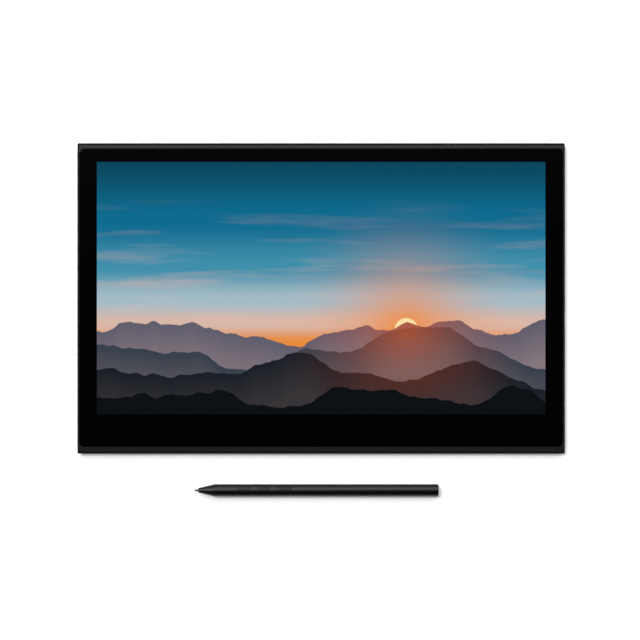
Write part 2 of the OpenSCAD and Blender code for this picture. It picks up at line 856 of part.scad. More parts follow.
// Board that carries a socket in a notch; the left one also reaches to the power button
module port_board(side, y_end, posts) {
    board_len = y_port + port_board_end - y_end;
    reach = x_port_board_out - x_port_board_in;
    color("darkgreen")
        difference() {
            block(side * (x_port_board_in + reach / 2), y_end + board_len / 2, reach, board_len,
                z_board, z_board_top);
            on_side(side)
                block((x_port_back - port_notch_play + half_w) / 2, y_port,
                    half_w - x_port_back + port_notch_play, port_w + 2 * port_notch_play,
                    z_board - cut, z_board_top + cut);
            for (p = posts) post(p, board_screw_d + 2 * hole_play, z_board - cut, z_board_top + cut);
        }
}

module port_board_left() port_board(left, y_button - button_board_end, left_posts);

module port_board_right() port_board(right, y_port - port_board_end, right_posts);

module port_cable(side) {
    inner = board_w / 2 - cable_overlap;
    outer = x_port_board_in + cable_overlap;
    color("saddlebrown")
        block(side * (inner + outer) / 2, y_board, outer - inner, port_cable_w, z_flex, z_flex + flex_t);
}

module port_cable_left() port_cable(left);

module port_cable_right() port_cable(right);

// Drawn steel shell of a reversible socket
module usb_shell(side) {
    color("silver")
        on_side(side)
            translate([0, y_port, z_port])
                along_x(x_port_back, port_l)
                    difference() {
                        stadium(port_w, port_h);
                        stadium(port_w - 2 * port_shell_t, port_h - 2 * port_shell_t);
                    }
}

module usb_shell_left() usb_shell(left);

module usb_shell_right() usb_shell(right);

// Moulded block that closes the shell's back and carries the contact tongue
module usb_tongue(side) {
    inner = 2 * (port_shell_t + pen_fit);
    color("#141416")
        on_side(side)
            translate([0, y_port, z_port]) {
                along_x(x_port_back, port_back) stadium(port_w - inner, port_h - inner);
                along_x(x_port_back, port_l - tongue_recess) square([tongue_w, tongue_t], center = true);
            }
}

module usb_tongue_left() usb_tongue(left);

module usb_tongue_right() usb_tongue(right);

// Power button: cap through the wall, inner flange and stem
module power_button() {
    flange_x = wall_t + switch_rest_gap - half_w;
    stem_l = button_stem_end - flange_x;
    color("#26282c")
        translate([0, y_button, z_button]) {
            along_x(-half_w - button_proud, button_proud + flange_x + half_w + button_flange)
                stadium(button_l, button_h);
            along_x(flange_x, button_flange) stadium(button_l + 2 * wall_t, button_h + wall_t);
            along_x(flange_x, stem_l) square([button_h, button_h / 2], center = true);
        }
}

module power_switch() {
    color("#d8d4c8")
        block(switch_face_x + power_switch_d / 2, y_button, power_switch_d, power_switch_w,
            z_board_top, z_button + button_h / 2);
}

// Feet and fasteners

module foot_far() {
    color("#18191b")
        translate([0, y_foot_far, 0]) foot_strip(foot_far_l, foot_far_w, foot_proud + foot_seat, foot_bevel);
}

module foot_near() {
    color("#18191b")
        translate([0, y_rail, 0]) foot_strip(foot_near_l, foot_near_w, foot_proud + foot_seat, foot_bevel);
}

module cover_screws() {
    color("gray") {
        for (p = concat(far_screws, near_screws)) post(p, head_d, z_head, z_web);
        for (p = far_screws) post(p, screw_d, z_web, z_floor - thread_end);
        for (p = near_screws) post(p, screw_d, z_web, z_shield + near_boss_h - thread_end);
    }
}

module board_screws() {
    color("gray")
        for (p = board_posts) {
            post(p, board_head_d, z_board_top, z_board_top + board_head_h);
            post(p, board_screw_d, z_bay, z_board_top);
        }
}

// Pen

// Pen frame: X runs from the nib's tip to the rear, Z faces the switches
module pen_place() {
    translate([pen_tip_x, y_pen, pen_r]) rotate([-pen_roll, 0, 0]) children();
}

// Rod on the pen's axis between two distances from the tip
module rod(s0, s1, r) {
    translate([s0, 0, 0]) rotate([0, 90, 0]) cylinder(h = s1 - s0, r = r);
}

// Turned piece on the pen's axis, from an outline of radius and distance
module turned() {
    rotate([0, 90, 0]) rotate_extrude() children();
}

// Upright pad in the pen frame, with round corners, between two levels
module pen_pad(s, l, w, r, z0, z1) {
    translate([s, 0, z0]) linear_extrude(z1 - z0) rounded_rect(l, w, r);
}

// Shape taken off the barrel for the flat: run-out, flat and the notch behind it
module flat_cutter() {
    s0 = switch_from_tip - flat_l / 2;
    s1 = switch_from_tip + flat_l / 2;
    along_y(-pen_r, pen_d)
        polygon([
            [s0 - flat_ramp, pen_r], [s0, flat_z], [s1, flat_z], [s1 + notch_l / 2, flat_z - notch_depth],
            [s1 + notch_l, pen_r], [s1 + notch_l, pen_r + cut], [s0 - flat_ramp, pen_r + cut]
        ]);
}

module pen_barrel() {
    color("#1c1c1f")
        pen_place()
            difference() {
                rod(s_cone + pen_seam, s_cap - pen_seam, pen_r);
                rod(s_cone, s_cap, pen_in_r);
                flat_cutter();
                pen_pad(switch_from_tip, window_l, window_w, window_r, 0, pen_r);
            }
}

module pen_cone() {
    spigot_r = pen_in_r - pen_fit;
    bore_r = nib_r + nib_play;
    color("#1c1c1f")
        pen_place()
            turned()
                polygon([
                    [bore_r, nib_show], [nose_d / 2, nib_show], [pen_r, s_cone], [spigot_r, s_cone],
                    [spigot_r, s_spigot], [cavity_r, s_spigot], [cavity_r, s_cavity], [bore_r, s_cavity]
                ]);
}

module pen_nib() {
    color("dimgray")
        pen_place() {
            translate([nib_r, 0, 0]) sphere(r = nib_r);
            rod(nib_r, nib_l, nib_r);
        }
}

module nib_holder() {
    color("white")
        pen_place()
            difference() {
                rod(s_holder, s_holder + holder_l, holder_r);
                rod(s_holder - cut, nib_l + pen_fit, nib_r + pen_fit);
            }
}

module ferrite_core() {
    color("#303034")
        pen_place()
            difference() {
                rod(s_core, s_core + core_l, core_r);
                rod(s_core - cut, s_core + core_l + cut, nib_r + 3 * nib_play);
            }
}

module coil_winding() {
    color("peru")
        pen_place()
            difference() {
                rod(s_core + coil_inset, s_core + core_l - coil_inset, core_r + coil_t);
                rod(s_core, s_core + core_l, core_r + coil_gap);
            }
}

// Half-round sensor block lying in the carrier's trough
module pressure_sensor() {
    color("gold")
        pen_place()
            intersection() {
                rod(s_sensor, s_sensor + sensor_l, trough_r - pen_fit);
                block(s_sensor + sensor_l / 2, 0, sensor_l, pen_d, -pen_r, pen_board_t);
            }
}

// Trough in the lower half of the barrel, closed by a plug at its rear
module pen_carrier() {
    color("gainsboro")
        pen_place()
            difference() {
                rod(s_carrier, s_carrier_end, carrier_r);
                rod(s_carrier - cut, s_carrier_end - carrier_plug, trough_r);
                block((s_carrier + s_carrier_end - carrier_plug - cut) / 2, 0,
                    s_carrier_end - carrier_plug - s_carrier + cut, pen_d, 0, pen_r);
            }
}

module pen_board() {
    color("darkgreen")
        pen_place()
            block((s_board + s_board_end) / 2, 0, s_board_end - s_board, pen_board_w, 0, pen_board_t);
}

module switch_domes() {
    color("silver")
        pen_place()
            for (i = [-1:1])
                translate([switch_from_tip + i * switch_pitch, 0, pen_board_t])
                    cylinder(h = dome_h, d = dome_d);
}

// Insert in the barrel's window, flush with the barrel: three openings, two nubs and a lip that holds it
module pen_switch_bezel() {
    color("#222226")
        pen_place()
            difference() {
                union() {
                    intersection() {
                        pen_pad(switch_from_tip, window_l - 2 * pen_fit, window_w - 2 * pen_fit,
                            window_r - pen_fit, z_bezel, flat_z);
                        rod(s_cone, s_cap, pen_r);
                    }
                    block(switch_from_tip, 0, bezel_lip_l, bezel_lip_w, z_bezel, z_bezel + bezel_lip);
                    for (i = [-0.5, 0.5]) nub(switch_from_tip + i * switch_pitch);
                }
                for (i = [-1:1])
                    pen_pad(switch_from_tip + i * switch_pitch, switch_l + 2 * switch_play,
                        switch_w + 2 * switch_play, switch_r + switch_play, z_bezel - cut, pen_r);
            }
}

// Low bump that the finger feels between two switches, crowned like the barrel
module nub(s) {
    intersection() {
        pen_pad(s, nub_l, nub_w, nub_end_share * nub_w, z_bezel, pen_r + nub_h);
        rod(s - nub_l, s + nub_l, flat_z + nub_h);
    }
}

// Side switch: crowned cap, flange under the bezel and pusher above its dome
module pen_switch(i) {
    s = switch_from_tip + i * switch_pitch;
    color("#2a2a2e")
        pen_place() {
            intersection() {
                pen_pad(s, switch_l, switch_w, switch_r, z_switch_flange, pen_r + cut);
                translate([0, 0, flat_z + switch_proud - switch_crown])
                    rod(s - switch_l, s + switch_l, switch_crown);
            }
            block(s, 0, switch_l + 2 * (switch_play + switch_flange_edge),
                switch_w + 2 * (switch_play + switch_flange_edge),
                z_switch_flange, z_switch_flange + switch_flange_t);
            translate([s, 0, z_pusher]) cylinder(h = pusher_h + root, d = pusher_d);
        }
}

module pen_switch_front() pen_switch(-1);

module pen_switch_middle() pen_switch(0);

module pen_switch_rear() pen_switch(1);

// Pull-off end cap whose spigot holds the spare nibs
module pen_end_cap() {
    color("#1c1c1f")
        pen_place()
            difference() {
                union() {
                    turned() {
                        translate([0, s_cap]) square([pen_r - cap_round, cap_l]);
                        translate([0, s_cap]) square([pen_r, cap_l - cap_round]);
                        translate([pen_r - cap_round, pen_len - cap_round]) circle(cap_round);
                    }
                    rod(s_cap - cap_spigot, s_cap + root, pen_in_r - pen_fit);
                }
                spare_nib_rods(nib_r + pen_fit, pen_fit);
            }
}

// Ring of rods that reach into the end cap's spigot
module spare_nib_rods(r, deeper) {
    s0 = s_cap - cap_spigot + spare_nib_seat - spare_nib_l;
    for (i = [0 : spare_nib_count - 1])
        rotate([i * 360 / spare_nib_count, 0, 0])
            translate([0, 0, spare_nib_ring]) rod(s0, s0 + spare_nib_l + deeper, r);
}

module spare_nibs() {
    color("dimgray") pen_place() spare_nib_rods(nib_r, 0);
}

cover_glass();
glass_gasket();
optical_bond();
display_panel();
panel_cushion();
digitizer_board();
shield_sheet();
mid_frame();
rear_cover();
main_board();
board_chips();
shield_can();
thermal_pad();
flex_connectors();
driver_board();
driver_films();
display_cable();
digitizer_cable();
port_board_left();
port_board_right();
port_cable_left();
port_cable_right();
usb_shell_left();
usb_shell_right();
usb_tongue_left();
usb_tongue_right();
power_button();
power_switch();
foot_far();
foot_near();
cover_screws();
board_screws();
pen_barrel();
pen_cone();
pen_nib();
nib_holder();
ferrite_core();
coil_winding();
pressure_sensor();
pen_carrier();
pen_board();
switch_domes();
pen_switch_bezel();
pen_switch_front();
pen_switch_middle();
pen_switch_rear();
pen_end_cap();
spare_nibs();
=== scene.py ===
"""Looks of a slim pen display and its pen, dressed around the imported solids.

Metres, in the frame of the solids: +X right, +Y to the far edge, +Z up from the desk.
"""

import json
import logging
import math
from collections.abc import Callable, Mapping, Sequence
from dataclasses import dataclass
from enum import Enum
from typing import Any

import bmesh
import bpy
from bpy.types import Material, Mesh, Node, NodeSocket, NodeTree, Object, World
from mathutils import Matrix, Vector


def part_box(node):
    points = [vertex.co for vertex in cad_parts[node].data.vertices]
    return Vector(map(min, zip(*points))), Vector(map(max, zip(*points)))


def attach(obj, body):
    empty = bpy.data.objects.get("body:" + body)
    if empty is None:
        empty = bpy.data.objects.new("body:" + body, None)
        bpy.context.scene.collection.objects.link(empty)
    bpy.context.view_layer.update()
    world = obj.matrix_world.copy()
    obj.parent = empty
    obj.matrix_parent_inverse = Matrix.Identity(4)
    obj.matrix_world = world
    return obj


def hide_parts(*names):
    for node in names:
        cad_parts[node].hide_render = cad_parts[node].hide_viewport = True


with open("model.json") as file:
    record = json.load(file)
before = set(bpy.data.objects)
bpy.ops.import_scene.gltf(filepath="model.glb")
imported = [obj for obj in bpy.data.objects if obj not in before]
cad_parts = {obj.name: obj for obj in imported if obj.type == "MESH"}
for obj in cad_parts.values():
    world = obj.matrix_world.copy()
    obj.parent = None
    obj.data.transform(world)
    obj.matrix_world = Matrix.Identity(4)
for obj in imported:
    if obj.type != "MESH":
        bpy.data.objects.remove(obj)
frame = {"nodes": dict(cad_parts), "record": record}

LOG = logging.getLogger("pen_display")
MM = 0.001
# Corners of the solids' triangles that lie closer than this are one corner
MERGE = 0.0005 * MM
# Faces of the solids that turn by less than this are one flat face
FLAT_DEG = 0.2
# Edges of the solids that turn by more than this are rounded
ROUNDED_DEG = 35.0
# Facets across a rounding, and the profile that makes it a quarter of a circle
ROUND_FACETS = 2
ROUND_PROFILE = 0.5
# Edges of a rounded piece that turn by more than this look sharp; the facets of a rounding turn by less
CREASE_DEG = 50.0
# Nearly all values of a noise texture lie between these
NOISE_SPAN = (0.25, 0.75)
# Numbers of the Mix node's sockets for colours, whose names it has for other kinds of value too
MIX_BELOW, MIX_ABOVE, MIX_RESULT = 6, 7, 2
BLACK = (0.0, 0.0, 0.0, 1.0)
WHITE = (1.0, 1.0, 1.0, 1.0)


class Side(Enum):
    """The two sides of the tablet that carry a socket."""

    LEFT = -1
    RIGHT = 1


class Run(Enum):
    """The way in which a flat cable's conductors run."""

    ALONG_X = 0
    ALONG_Y = 1


def linear(colour: str) -> tuple[float, float, float, float]:
    """Turns an sRGB hex colour into linear light.

    Args:
        colour: Six hex digits after a hash.

    Returns:
        Red, green, blue and a full alpha.
    """
    parts = [int(colour[i : i + 2], 16) / 255 for i in (1, 3, 5)]
    red, green, blue = (c / 12.92 if c <= 0.04045 else ((c + 0.055) / 1.055) ** 2.4 for c in parts)
    return red, green, blue, 1.0


def add(tree: NodeTree, kind: str, inputs: Mapping[str | int, Any] | None = None, **settings: Any) -> Node:
    """Adds a node with its settings, its plain inputs and the links into it.

    Args:
        tree: Tree that gets the node.
        kind: Type name of the node.
        inputs: Values or output sockets, by the input's name or number.
        **settings: Properties of the node itself.

    Returns:
        The new node.
    """
    node = tree.nodes.new(kind)
    for name, value in settings.items():
        setattr(node, name, value)
    for key, value in (inputs or {}).items():
        if isinstance(value, NodeSocket):
            tree.links.new(value, node.inputs[key])
        else:
            node.inputs[key].default_value = value
    return node


def bare_tree(owner: Material | World) -> NodeTree:
    """Returns the emptied node tree of a material or world."""
    owner.use_nodes = True
    owner.node_tree.nodes.clear()
    return owner.node_tree


@dataclass(frozen=True)
class Finish:
    """A plain surface finish with a fine grain.

    Attributes:
        title: Name of the material and of how its surface was made.
        colour: sRGB hex colour.
        roughness: Mean roughness.
        metallic: 1 for bare metal.
        specular: Strength of the gloss; 0.5 is that of the IOR alone.
        grain_mm: Width of a grain on the surface.
        relief_mm: Height of the grain.
        mottle: Share by which the grain changes the roughness.
        detail: Layers of ever finer noise in the grain.
    """

    title: str
    colour: str
    roughness: float
    metallic: float = 0.0
    specular: float = 0.5
    grain_mm: float = 0.6
    relief_mm: float = 0.004
    mottle: float = 0.12
    detail: float = 3.0

    def material(self) -> Material:
        """Returns the finish's material, made on its first use."""
        made = bpy.data.materials.get(self.title)
        return made if made is not None else self.mix()

    def mix(self) -> Material:
        """Makes the material.

        Returns:
            The new material.
        """
        made = bpy.data.materials.new(self.title)
        tree = bare_tree(made)
        shader = add(
            tree,
            "ShaderNodeBsdfPrincipled",
            {
                "Base Color": linear(self.colour),
                "Roughness": self.roughness,
                "Metallic": self.metallic,
                "Specular IOR Level": self.specular,
            },
        )
        self.paint(tree, shader, add(tree, "ShaderNodeTexCoord").outputs["Object"])
        add(tree, "ShaderNodeOutputMaterial", {"Surface": shader.outputs["BSDF"]})
        return made

    def paint(self, tree: NodeTree, shader: Node, place: NodeSocket) -> None:
        """Gives the shader its pattern, which is the grain on a plain finish.

        Args:
            tree: The material's tree.
            shader: Its Principled shader.
            place: Object coordinates.
        """
        self.roughen(tree, shader, place, 1 / (self.grain_mm * MM))

    def roughen(self, tree: NodeTree, shader: Node, place: NodeSocket, scale: float) -> NodeSocket:
        """Makes the gloss and the height of the surface uneven.

        Args:
            tree: The material's tree.
            shader: Its Principled shader.
            place: Coordinates of the grain.
            scale: Grains per unit of the coordinates.

        Returns:
            The roughness.
        """
        grain = add(tree, "ShaderNodeTexNoise", {"Vector": place, "Scale": scale, "Detail": self.detail})
        spread = self.roughness * self.mottle
        rough = add(
            tree,
            "ShaderNodeMapRange",
            {"Value": grain.outputs["Fac"], "To Min": self.roughness - spread, "To Max": self.roughness + spread},
        ).outputs["Result"]
        bump = add(tree, "ShaderNodeBump", {"Height": grain.outputs["Fac"], "Distance": self.relief_mm * MM})
        tree.links.new(rough, shader.inputs["Roughness"])
        tree.links.new(bump.outputs["Normal"], shader.inputs["Normal"])
        return rough


@dataclass(frozen=True)
class DrawnMetal(Finish):
    """Bare metal with fine lines along its drawing direction.

    Attributes:
        line_mm: Distance from line to line.
        stretch: How many times longer than wide a line is.
        detail: Layers of ever finer noise in the lines.
    """

    line_mm: float = 0.25
    stretch: float = 14.0
    detail: float = 2.0

    def paint(self, tree: NodeTree, shader: Node, place: NodeSocket) -> None:
        """Draws the lines along X, as tracks of a brighter and a duller gloss."""
        pitch = 1 / (self.line_mm * MM)
        drawn = add(tree, "ShaderNodeMapping", {"Vector": place, "Scale": (pitch / self.stretch, pitch, pitch)})
        self.roughen(tree, shader, drawn.outputs["Vector"], 1.0)


@dataclass(frozen=True)
class PaintedShadeEdgeCoat(Finish):
    """Coat with a painted shade line along the outer edge of a piece, as seen from above: black and rough, it
    stands in for the shade on the outer edge.

    Attributes:
        middle: Middle of the piece, in metres.
        half: Half its width and depth, in metres.
        line_mm: Width of the painted shade line.
        painted_shade_colour: sRGB hex colour of the painted shade.
        painted_shade_roughness: Roughness of the painted shade line.
    """

    middle: tuple[float, float] = (0.0, 0.0)
    half: tuple[float, float] = (1.0, 1.0)
    line_mm: float = 0.75
    painted_shade_colour: str = "#030304"
    painted_shade_roughness: float = 0.9

    def paint(self, tree: NodeTree, shader: Node, place: NodeSocket) -> None:
        """Lays the painted shade line over the grain of the coat."""
        grain = self.roughen(tree, shader, place, 1 / (self.grain_mm * MM))
        away = add(tree, "ShaderNodeVectorMath", {0: place, 1: (*self.middle, 0.0)}, operation="SUBTRACT")
        out = add(tree, "ShaderNodeVectorMath", {0: away.outputs["Vector"]}, operation="ABSOLUTE").outputs["Vector"]
        inner = [reach - self.line_mm * MM for reach in self.half]
        past = add(tree, "ShaderNodeVectorMath", {0: out, 1: (*inner, 0.0)}, operation="SUBTRACT")
        axes = add(tree, "ShaderNodeSeparateXYZ", {"Vector": past.outputs["Vector"]}).outputs
        most = add(tree, "ShaderNodeMath", {0: axes["X"], 1: axes["Y"]}, operation="MAXIMUM").outputs["Value"]
        # Painted shade: the band along the outer edge turns black and rough, standing in for the shade on that edge
        line = add(tree, "ShaderNodeMath", {0: most, 1: 0.0}, operation="GREATER_THAN").outputs["Value"]
        tint = add(
            tree,
            "ShaderNodeMix",
            {"Factor": line, MIX_BELOW: linear(self.colour), MIX_ABOVE: linear(self.painted_shade_colour)},
            data_type="RGBA",
        )
        rough = add(tree, "ShaderNodeMix", {"Factor": line, "A": grain, "B": self.painted_shade_roughness})
        tree.links.new(tint.outputs[MIX_RESULT], shader.inputs["Base Color"])
        tree.links.new(rough.outputs["Result"], shader.inputs["Roughness"])


@dataclass(frozen=True)
class SolderMask(Finish):
    """Circuit board: mask with copper tracks that show through it as lighter lines.

    Attributes:
        track_colour: sRGB hex colour of the mask over a track.
        track_mm: Distance from track to track.
        track_half_mm: Half the width of a track.
        run_mm: Length of a straight run between two cross tracks.
    """

    track_colour: str = "#1F6B45"
    track_mm: float = 2.2
    track_half_mm: float = 0.12
    run_mm: float = 11.0

    def paint(self, tree: NodeTree, shader: Node, place: NodeSocket) -> None:
        """Lays staggered tracks over the mask."""
        scaled = add(tree, "ShaderNodeVectorMath", {0: place, 1: (1 / MM, 1 / MM, 0.0)}, operation="MULTIPLY")
        tracks = add(
            tree,
            "ShaderNodeTexBrick",
            {
                "Vector": scaled.outputs["Vector"],
                "Color1": linear(self.colour),
                "Color2": linear(self.colour),
                "Mortar": linear(self.track_colour),
                "Scale": 1.0,
                "Mortar Size": self.track_half_mm,
                "Brick Width": self.run_mm,
                "Row Height": self.track_mm,
            },
        )
        tree.links.new(tracks.outputs["Color"], shader.inputs["Base Color"])


@dataclass(frozen=True)
class StripedFilm(Finish):
    """Polyimide flat cable: amber film with darker copper conductors under it.

    Attributes:
        stripe_colour: sRGB hex colour over a conductor.
        pitch_mm: Distance from conductor to conductor.
        run: Way in which the conductors run.
        blur: Height of the wave across the film, up to 1, at which a conductor starts and is full.
    """

    stripe_colour: str = "#6B3410"
    pitch_mm: float = 1.0
    run: Run = Run.ALONG_Y
    blur: float = 0.2

    def paint(self, tree: NodeTree, shader: Node, place: NodeSocket) -> None:
        """Lays the conductors side by side across the film."""
        axes = add(tree, "ShaderNodeSeparateXYZ", {"Vector": place}).outputs
        across = axes["Y" if self.run is Run.ALONG_X else "X"]
        beat = math.tau / (self.pitch_mm * MM)
        turn = add(tree, "ShaderNodeMath", {0: across, 1: beat}, operation="MULTIPLY").outputs["Value"]
        wave = add(tree, "ShaderNodeMath", {0: turn}, operation="SINE").outputs["Value"]
        stripe = add(tree, "ShaderNodeMapRange", {"Value": wave, "From Min": -self.blur, "From Max": self.blur})
        tint = add(
            tree,
            "ShaderNodeMix",
            {
                "Factor": stripe.outputs["Result"],
                MIX_BELOW: linear(self.colour),
                MIX_ABOVE: linear(self.stripe_colour),
            },
            data_type="RGBA",
        )
        tree.links.new(tint.outputs[MIX_RESULT], shader.inputs["Base Color"])


@dataclass(frozen=True)
class Ridge:
    """One line of hills in the lit picture; heights and places are shares of the picture.

    Attributes:
        colour: sRGB hex colour.
        height: Mean height of the ridge line.
        swing: How far the line rises and falls.
        hills: How many hills fit across the picture.
        shift: Where along the noise the line starts.
        haze: Share of the sun's glow that lies over the ridge.
        mist: Share of mist at the ridge's foot.
    """

    colour: str
    height: float
    swing: float
    hills: float
    shift: float
    haze: float
    mist: float


@dataclass(frozen=True)
class LitPicture(Finish):
    """Lit display panel that shows a dusk sky over lines of hills; places in it are shares of its height.

    Attributes:
        corner: Lower left corner of the picture area, in metres.
        extent: Width and depth of the picture area, in metres.
        sky: Stops of the sky, as height and sRGB hex colour, from the horizon up.
        ridges: Lines of hills, from the farthest to the nearest.
        crest_blur: Depths below its crest between which a ridge fades in.
        crag_detail: Layers of ever finer noise in a ridge line.
        crag_roughness: Strength of each finer layer.
        mist_colour: sRGB hex colour of the mist at the ridges' feet.
        mist_fall: Depth below its crest at which a ridge lies in full mist.
        sun: Place of the sun, as shares of the picture.
        disc_edge: Distances from the sun's middle where its disc has ended and where it is full.
        disc_colour: sRGB hex colour of the sun's disc.
        glow_edge: Distances from the sun's middle where its glow has ended and where it is full.
        glow_share: Share of its own colour that the full glow has.
        glow_fall: How steeply the glow falls off; higher is steeper.
        glow_colour: sRGB hex colour of the glow in the sky.
        haze_colour: sRGB hex colour of the glow on the hills.
        cloud_grain: Clouds across and up the picture.
        cloud_detail: Layers of ever finer noise in the clouds.
        cloud_cover: Noise where clouds start and where they are full.
        cloud_band: Heights where clouds have ended and where they are full.
        cloud_share: Share of its own colour that a full cloud has.
        cloud_colour: sRGB hex colour of the clouds.
    """

    corner: tuple[float, float] = (0.0, 0.0)
    extent: tuple[float, float] = (1.0, 1.0)
    sky: Sequence[tuple[float, str]] = (
        (0.20, "#E4480C"),
        (0.28, "#E8861A"),
        (0.36, "#D9B8A8"),
        (0.45, "#A3BCC8"),
        (0.58, "#3F8FAB"),
        (0.76, "#0B6C90"),
        (1.00, "#07465E"),
    )
    ridges: Sequence[Ridge] = (
        Ridge("#5E5C6C", 0.335, 0.085, 3.4, 4.1, 0.75, 0.45),
        Ridge("#343E4A", 0.255, 0.090, 2.6, 11.7, 0.65, 0.24),
        Ridge("#171E25", 0.165, 0.080, 3.1, 23.2, 0.40, 0.08),
        Ridge("#0B0F12", 0.075, 0.050, 5.2, 31.4, 0.0, 0.0),
    )
    crest_blur: tuple[float, float] = (-0.001, 0.002)
    crag_detail: float = 5.0
    crag_roughness: float = 0.45
    mist_colour: str = "#A58E8C"
    mist_fall: float = 0.17
    sun: tuple[float, float] = (0.69, 0.335)
    disc_edge: tuple[float, float] = (0.048, 0.044)
    disc_colour: str = "#FFE2A8"
    glow_edge: tuple[float, float] = (0.56, 0.02)
    glow_share: float = 0.95
    glow_fall: float = 2.4
    glow_colour: str = "#F08A24"
    haze_colour: str = "#C8581C"
    cloud_grain: tuple[float, float] = (2.4, 15.0)
    cloud_detail: float = 4.0
    cloud_cover: tuple[float, float] = (0.52, 0.78)
    cloud_band: tuple[float, float] = (0.86, 0.46)
    cloud_share: float = 0.55
    cloud_colour: str = "#E2B7A6"

    def paint(self, tree: NodeTree, shader: Node, place: NodeSocket) -> None:
        """Builds the picture from the sky down to the nearest ridge and lights it."""
        share = place
        for operation, by in (("SUBTRACT", (*self.corner, 0.0)), ("DIVIDE", (*self.extent, 1.0))):
            share = add(tree, "ShaderNodeVectorMath", {0: share, 1: by}, operation=operation).outputs["Vector"]
        axes = add(tree, "ShaderNodeSeparateXYZ", {"Vector": share}).outputs
        across, up = axes["X"], axes["Y"]
        glow, disc = self.sun_masks(tree, share)
        layers = [
            (self.cloud_mask(tree, share, up), linear(self.cloud_colour)),
            (glow, linear(self.glow_colour)),
            (disc, linear(self.disc_colour)),
            *(self.ridge_layer(tree, ridge, glow, across, up) for ridge in self.ridges),
            (self.edge_mask(tree, across, up), BLACK),
        ]
        colour = self.paint_sky(tree, up)
        for mask, tint in layers:
            inputs = {"Factor": mask, MIX_BELOW: colour, MIX_ABOVE: tint}
            colour = add(tree, "ShaderNodeMix", inputs, data_type="RGBA").outputs[MIX_RESULT]
        tree.links.new(colour, shader.inputs["Emission Color"])
        shader.inputs["Emission Strength"].default_value = 1.0

    def paint_sky(self, tree: NodeTree, up: NodeSocket) -> NodeSocket:
        """Returns the sky's colour by height."""
        ramp = add(tree, "ShaderNodeValToRGB", {"Fac": up})
        ramp.color_ramp.interpolation = "EASE"
        stops = ramp.color_ramp.elements
        while len(stops) < len(self.sky):
            # Anywhere between the first and the last, because the loop below gives it its place
            stops.new(0.5)
        for stop, (height, colour) in zip(stops, self.sky, strict=True):
            stop.position, stop.color = height, linear(colour)
        return ramp.outputs["Color"]

    def sun_masks(self, tree: NodeTree, share: NodeSocket) -> tuple[NodeSocket, NodeSocket]:
        """Returns the masks of the sun's glow and of its disc."""
        aspect = self.extent[0] / self.extent[1]
        away = share
        for operation, by in (("SUBTRACT", (*self.sun, 0.0)), ("MULTIPLY", (aspect, 1.0, 0.0))):
            away = add(tree, "ShaderNodeVectorMath", {0: away, 1: by}, operation=operation).outputs["Vector"]
        reach = add(tree, "ShaderNodeVectorMath", {0: away}, operation="LENGTH").outputs["Value"]
        near, disc = (
            add(tree, "ShaderNodeMapRange", {"Value": reach, "From Min": end, "From Max": full, "To Max": top})
            for end, full, top in ((*self.glow_edge, self.glow_share), (*self.disc_edge, 1.0))
        )
        glow = add(tree, "ShaderNodeMath", {0: near.outputs["Result"], 1: self.glow_fall}, operation="POWER")
        return glow.outputs["Value"], disc.outputs["Result"]

    def cloud_mask(self, tree: NodeTree, share: NodeSocket, up: NodeSocket) -> NodeSocket:
        """Returns the mask of thin level clouds in the middle of the sky."""
        drawn = add(tree, "ShaderNodeVectorMath", {0: share, 1: (*self.cloud_grain, 0.0)}, operation="MULTIPLY")
        noise = add(
            tree,
            "ShaderNodeTexNoise",
            {"Vector": drawn.outputs["Vector"], "Scale": 1.0, "Detail": self.cloud_detail},
        )
        wisp, band = (
            add(tree, "ShaderNodeMapRange", {"Value": value, "From Min": end, "From Max": full, "To Max": top})
            for value, end, full, top in (
                (noise.outputs["Fac"], *self.cloud_cover, 1.0),
                (up, *self.cloud_band, self.cloud_share),
            )
        )
        both = {0: wisp.outputs["Result"], 1: band.outputs["Result"]}
        return add(tree, "ShaderNodeMath", both, operation="MULTIPLY").outputs["Value"]

    def ridge_layer(
        self, tree: NodeTree, ridge: Ridge, glow: NodeSocket, across: NodeSocket, up: NodeSocket
    ) -> tuple[NodeSocket, NodeSocket]:
        """Makes one line of hills, with the sun's glow on it and mist at its foot.

        Args:
            tree: The material's tree.
            ridge: The line of hills.
            glow: Mask of the sun's glow.
            across: Place across the picture.
            up: Place up the picture.

        Returns:
            The mask and the colour of the hills.
        """
        along = add(tree, "ShaderNodeMath", {0: across, 1: ridge.hills, 2: ridge.shift}, operation="MULTIPLY_ADD")
        line = add(
            tree,
            "ShaderNodeTexNoise",
            {
                "W": along.outputs["Value"],
                "Scale": 1.0,
                "Detail": self.crag_detail,
                "Roughness": self.crag_roughness,
            },
            noise_dimensions="1D",
        )
        crest = add(
            tree,
            "ShaderNodeMapRange",
            {
                "Value": line.outputs["Fac"],
                "From Min": NOISE_SPAN[0],
                "From Max": NOISE_SPAN[1],
                "To Min": ridge.height - ridge.swing,
                "To Max": ridge.height + ridge.swing,
            },
        )
        below = add(tree, "ShaderNodeMath", {0: crest.outputs["Result"], 1: up}, operation="SUBTRACT")
        depth = below.outputs["Value"]
        haze = add(tree, "ShaderNodeMath", {0: glow, 1: ridge.haze}, operation="MULTIPLY").outputs["Value"]
        mist, mask = (
            add(tree, "ShaderNodeMapRange", {"Value": depth, "From Min": end, "From Max": full, "To Max": top})
            for end, full, top in ((0.0, self.mist_fall, ridge.mist), (*self.crest_blur, 1.0))
        )
        tint = linear(ridge.colour)
        for veil, colour in ((haze, self.haze_colour), (mist.outputs["Result"], self.mist_colour)):
            inputs = {"Factor": veil, MIX_BELOW: tint, MIX_ABOVE: linear(colour)}
            tint = add(tree, "ShaderNodeMix", inputs, data_type="RGBA").outputs[MIX_RESULT]
        return mask.outputs["Result"], tint

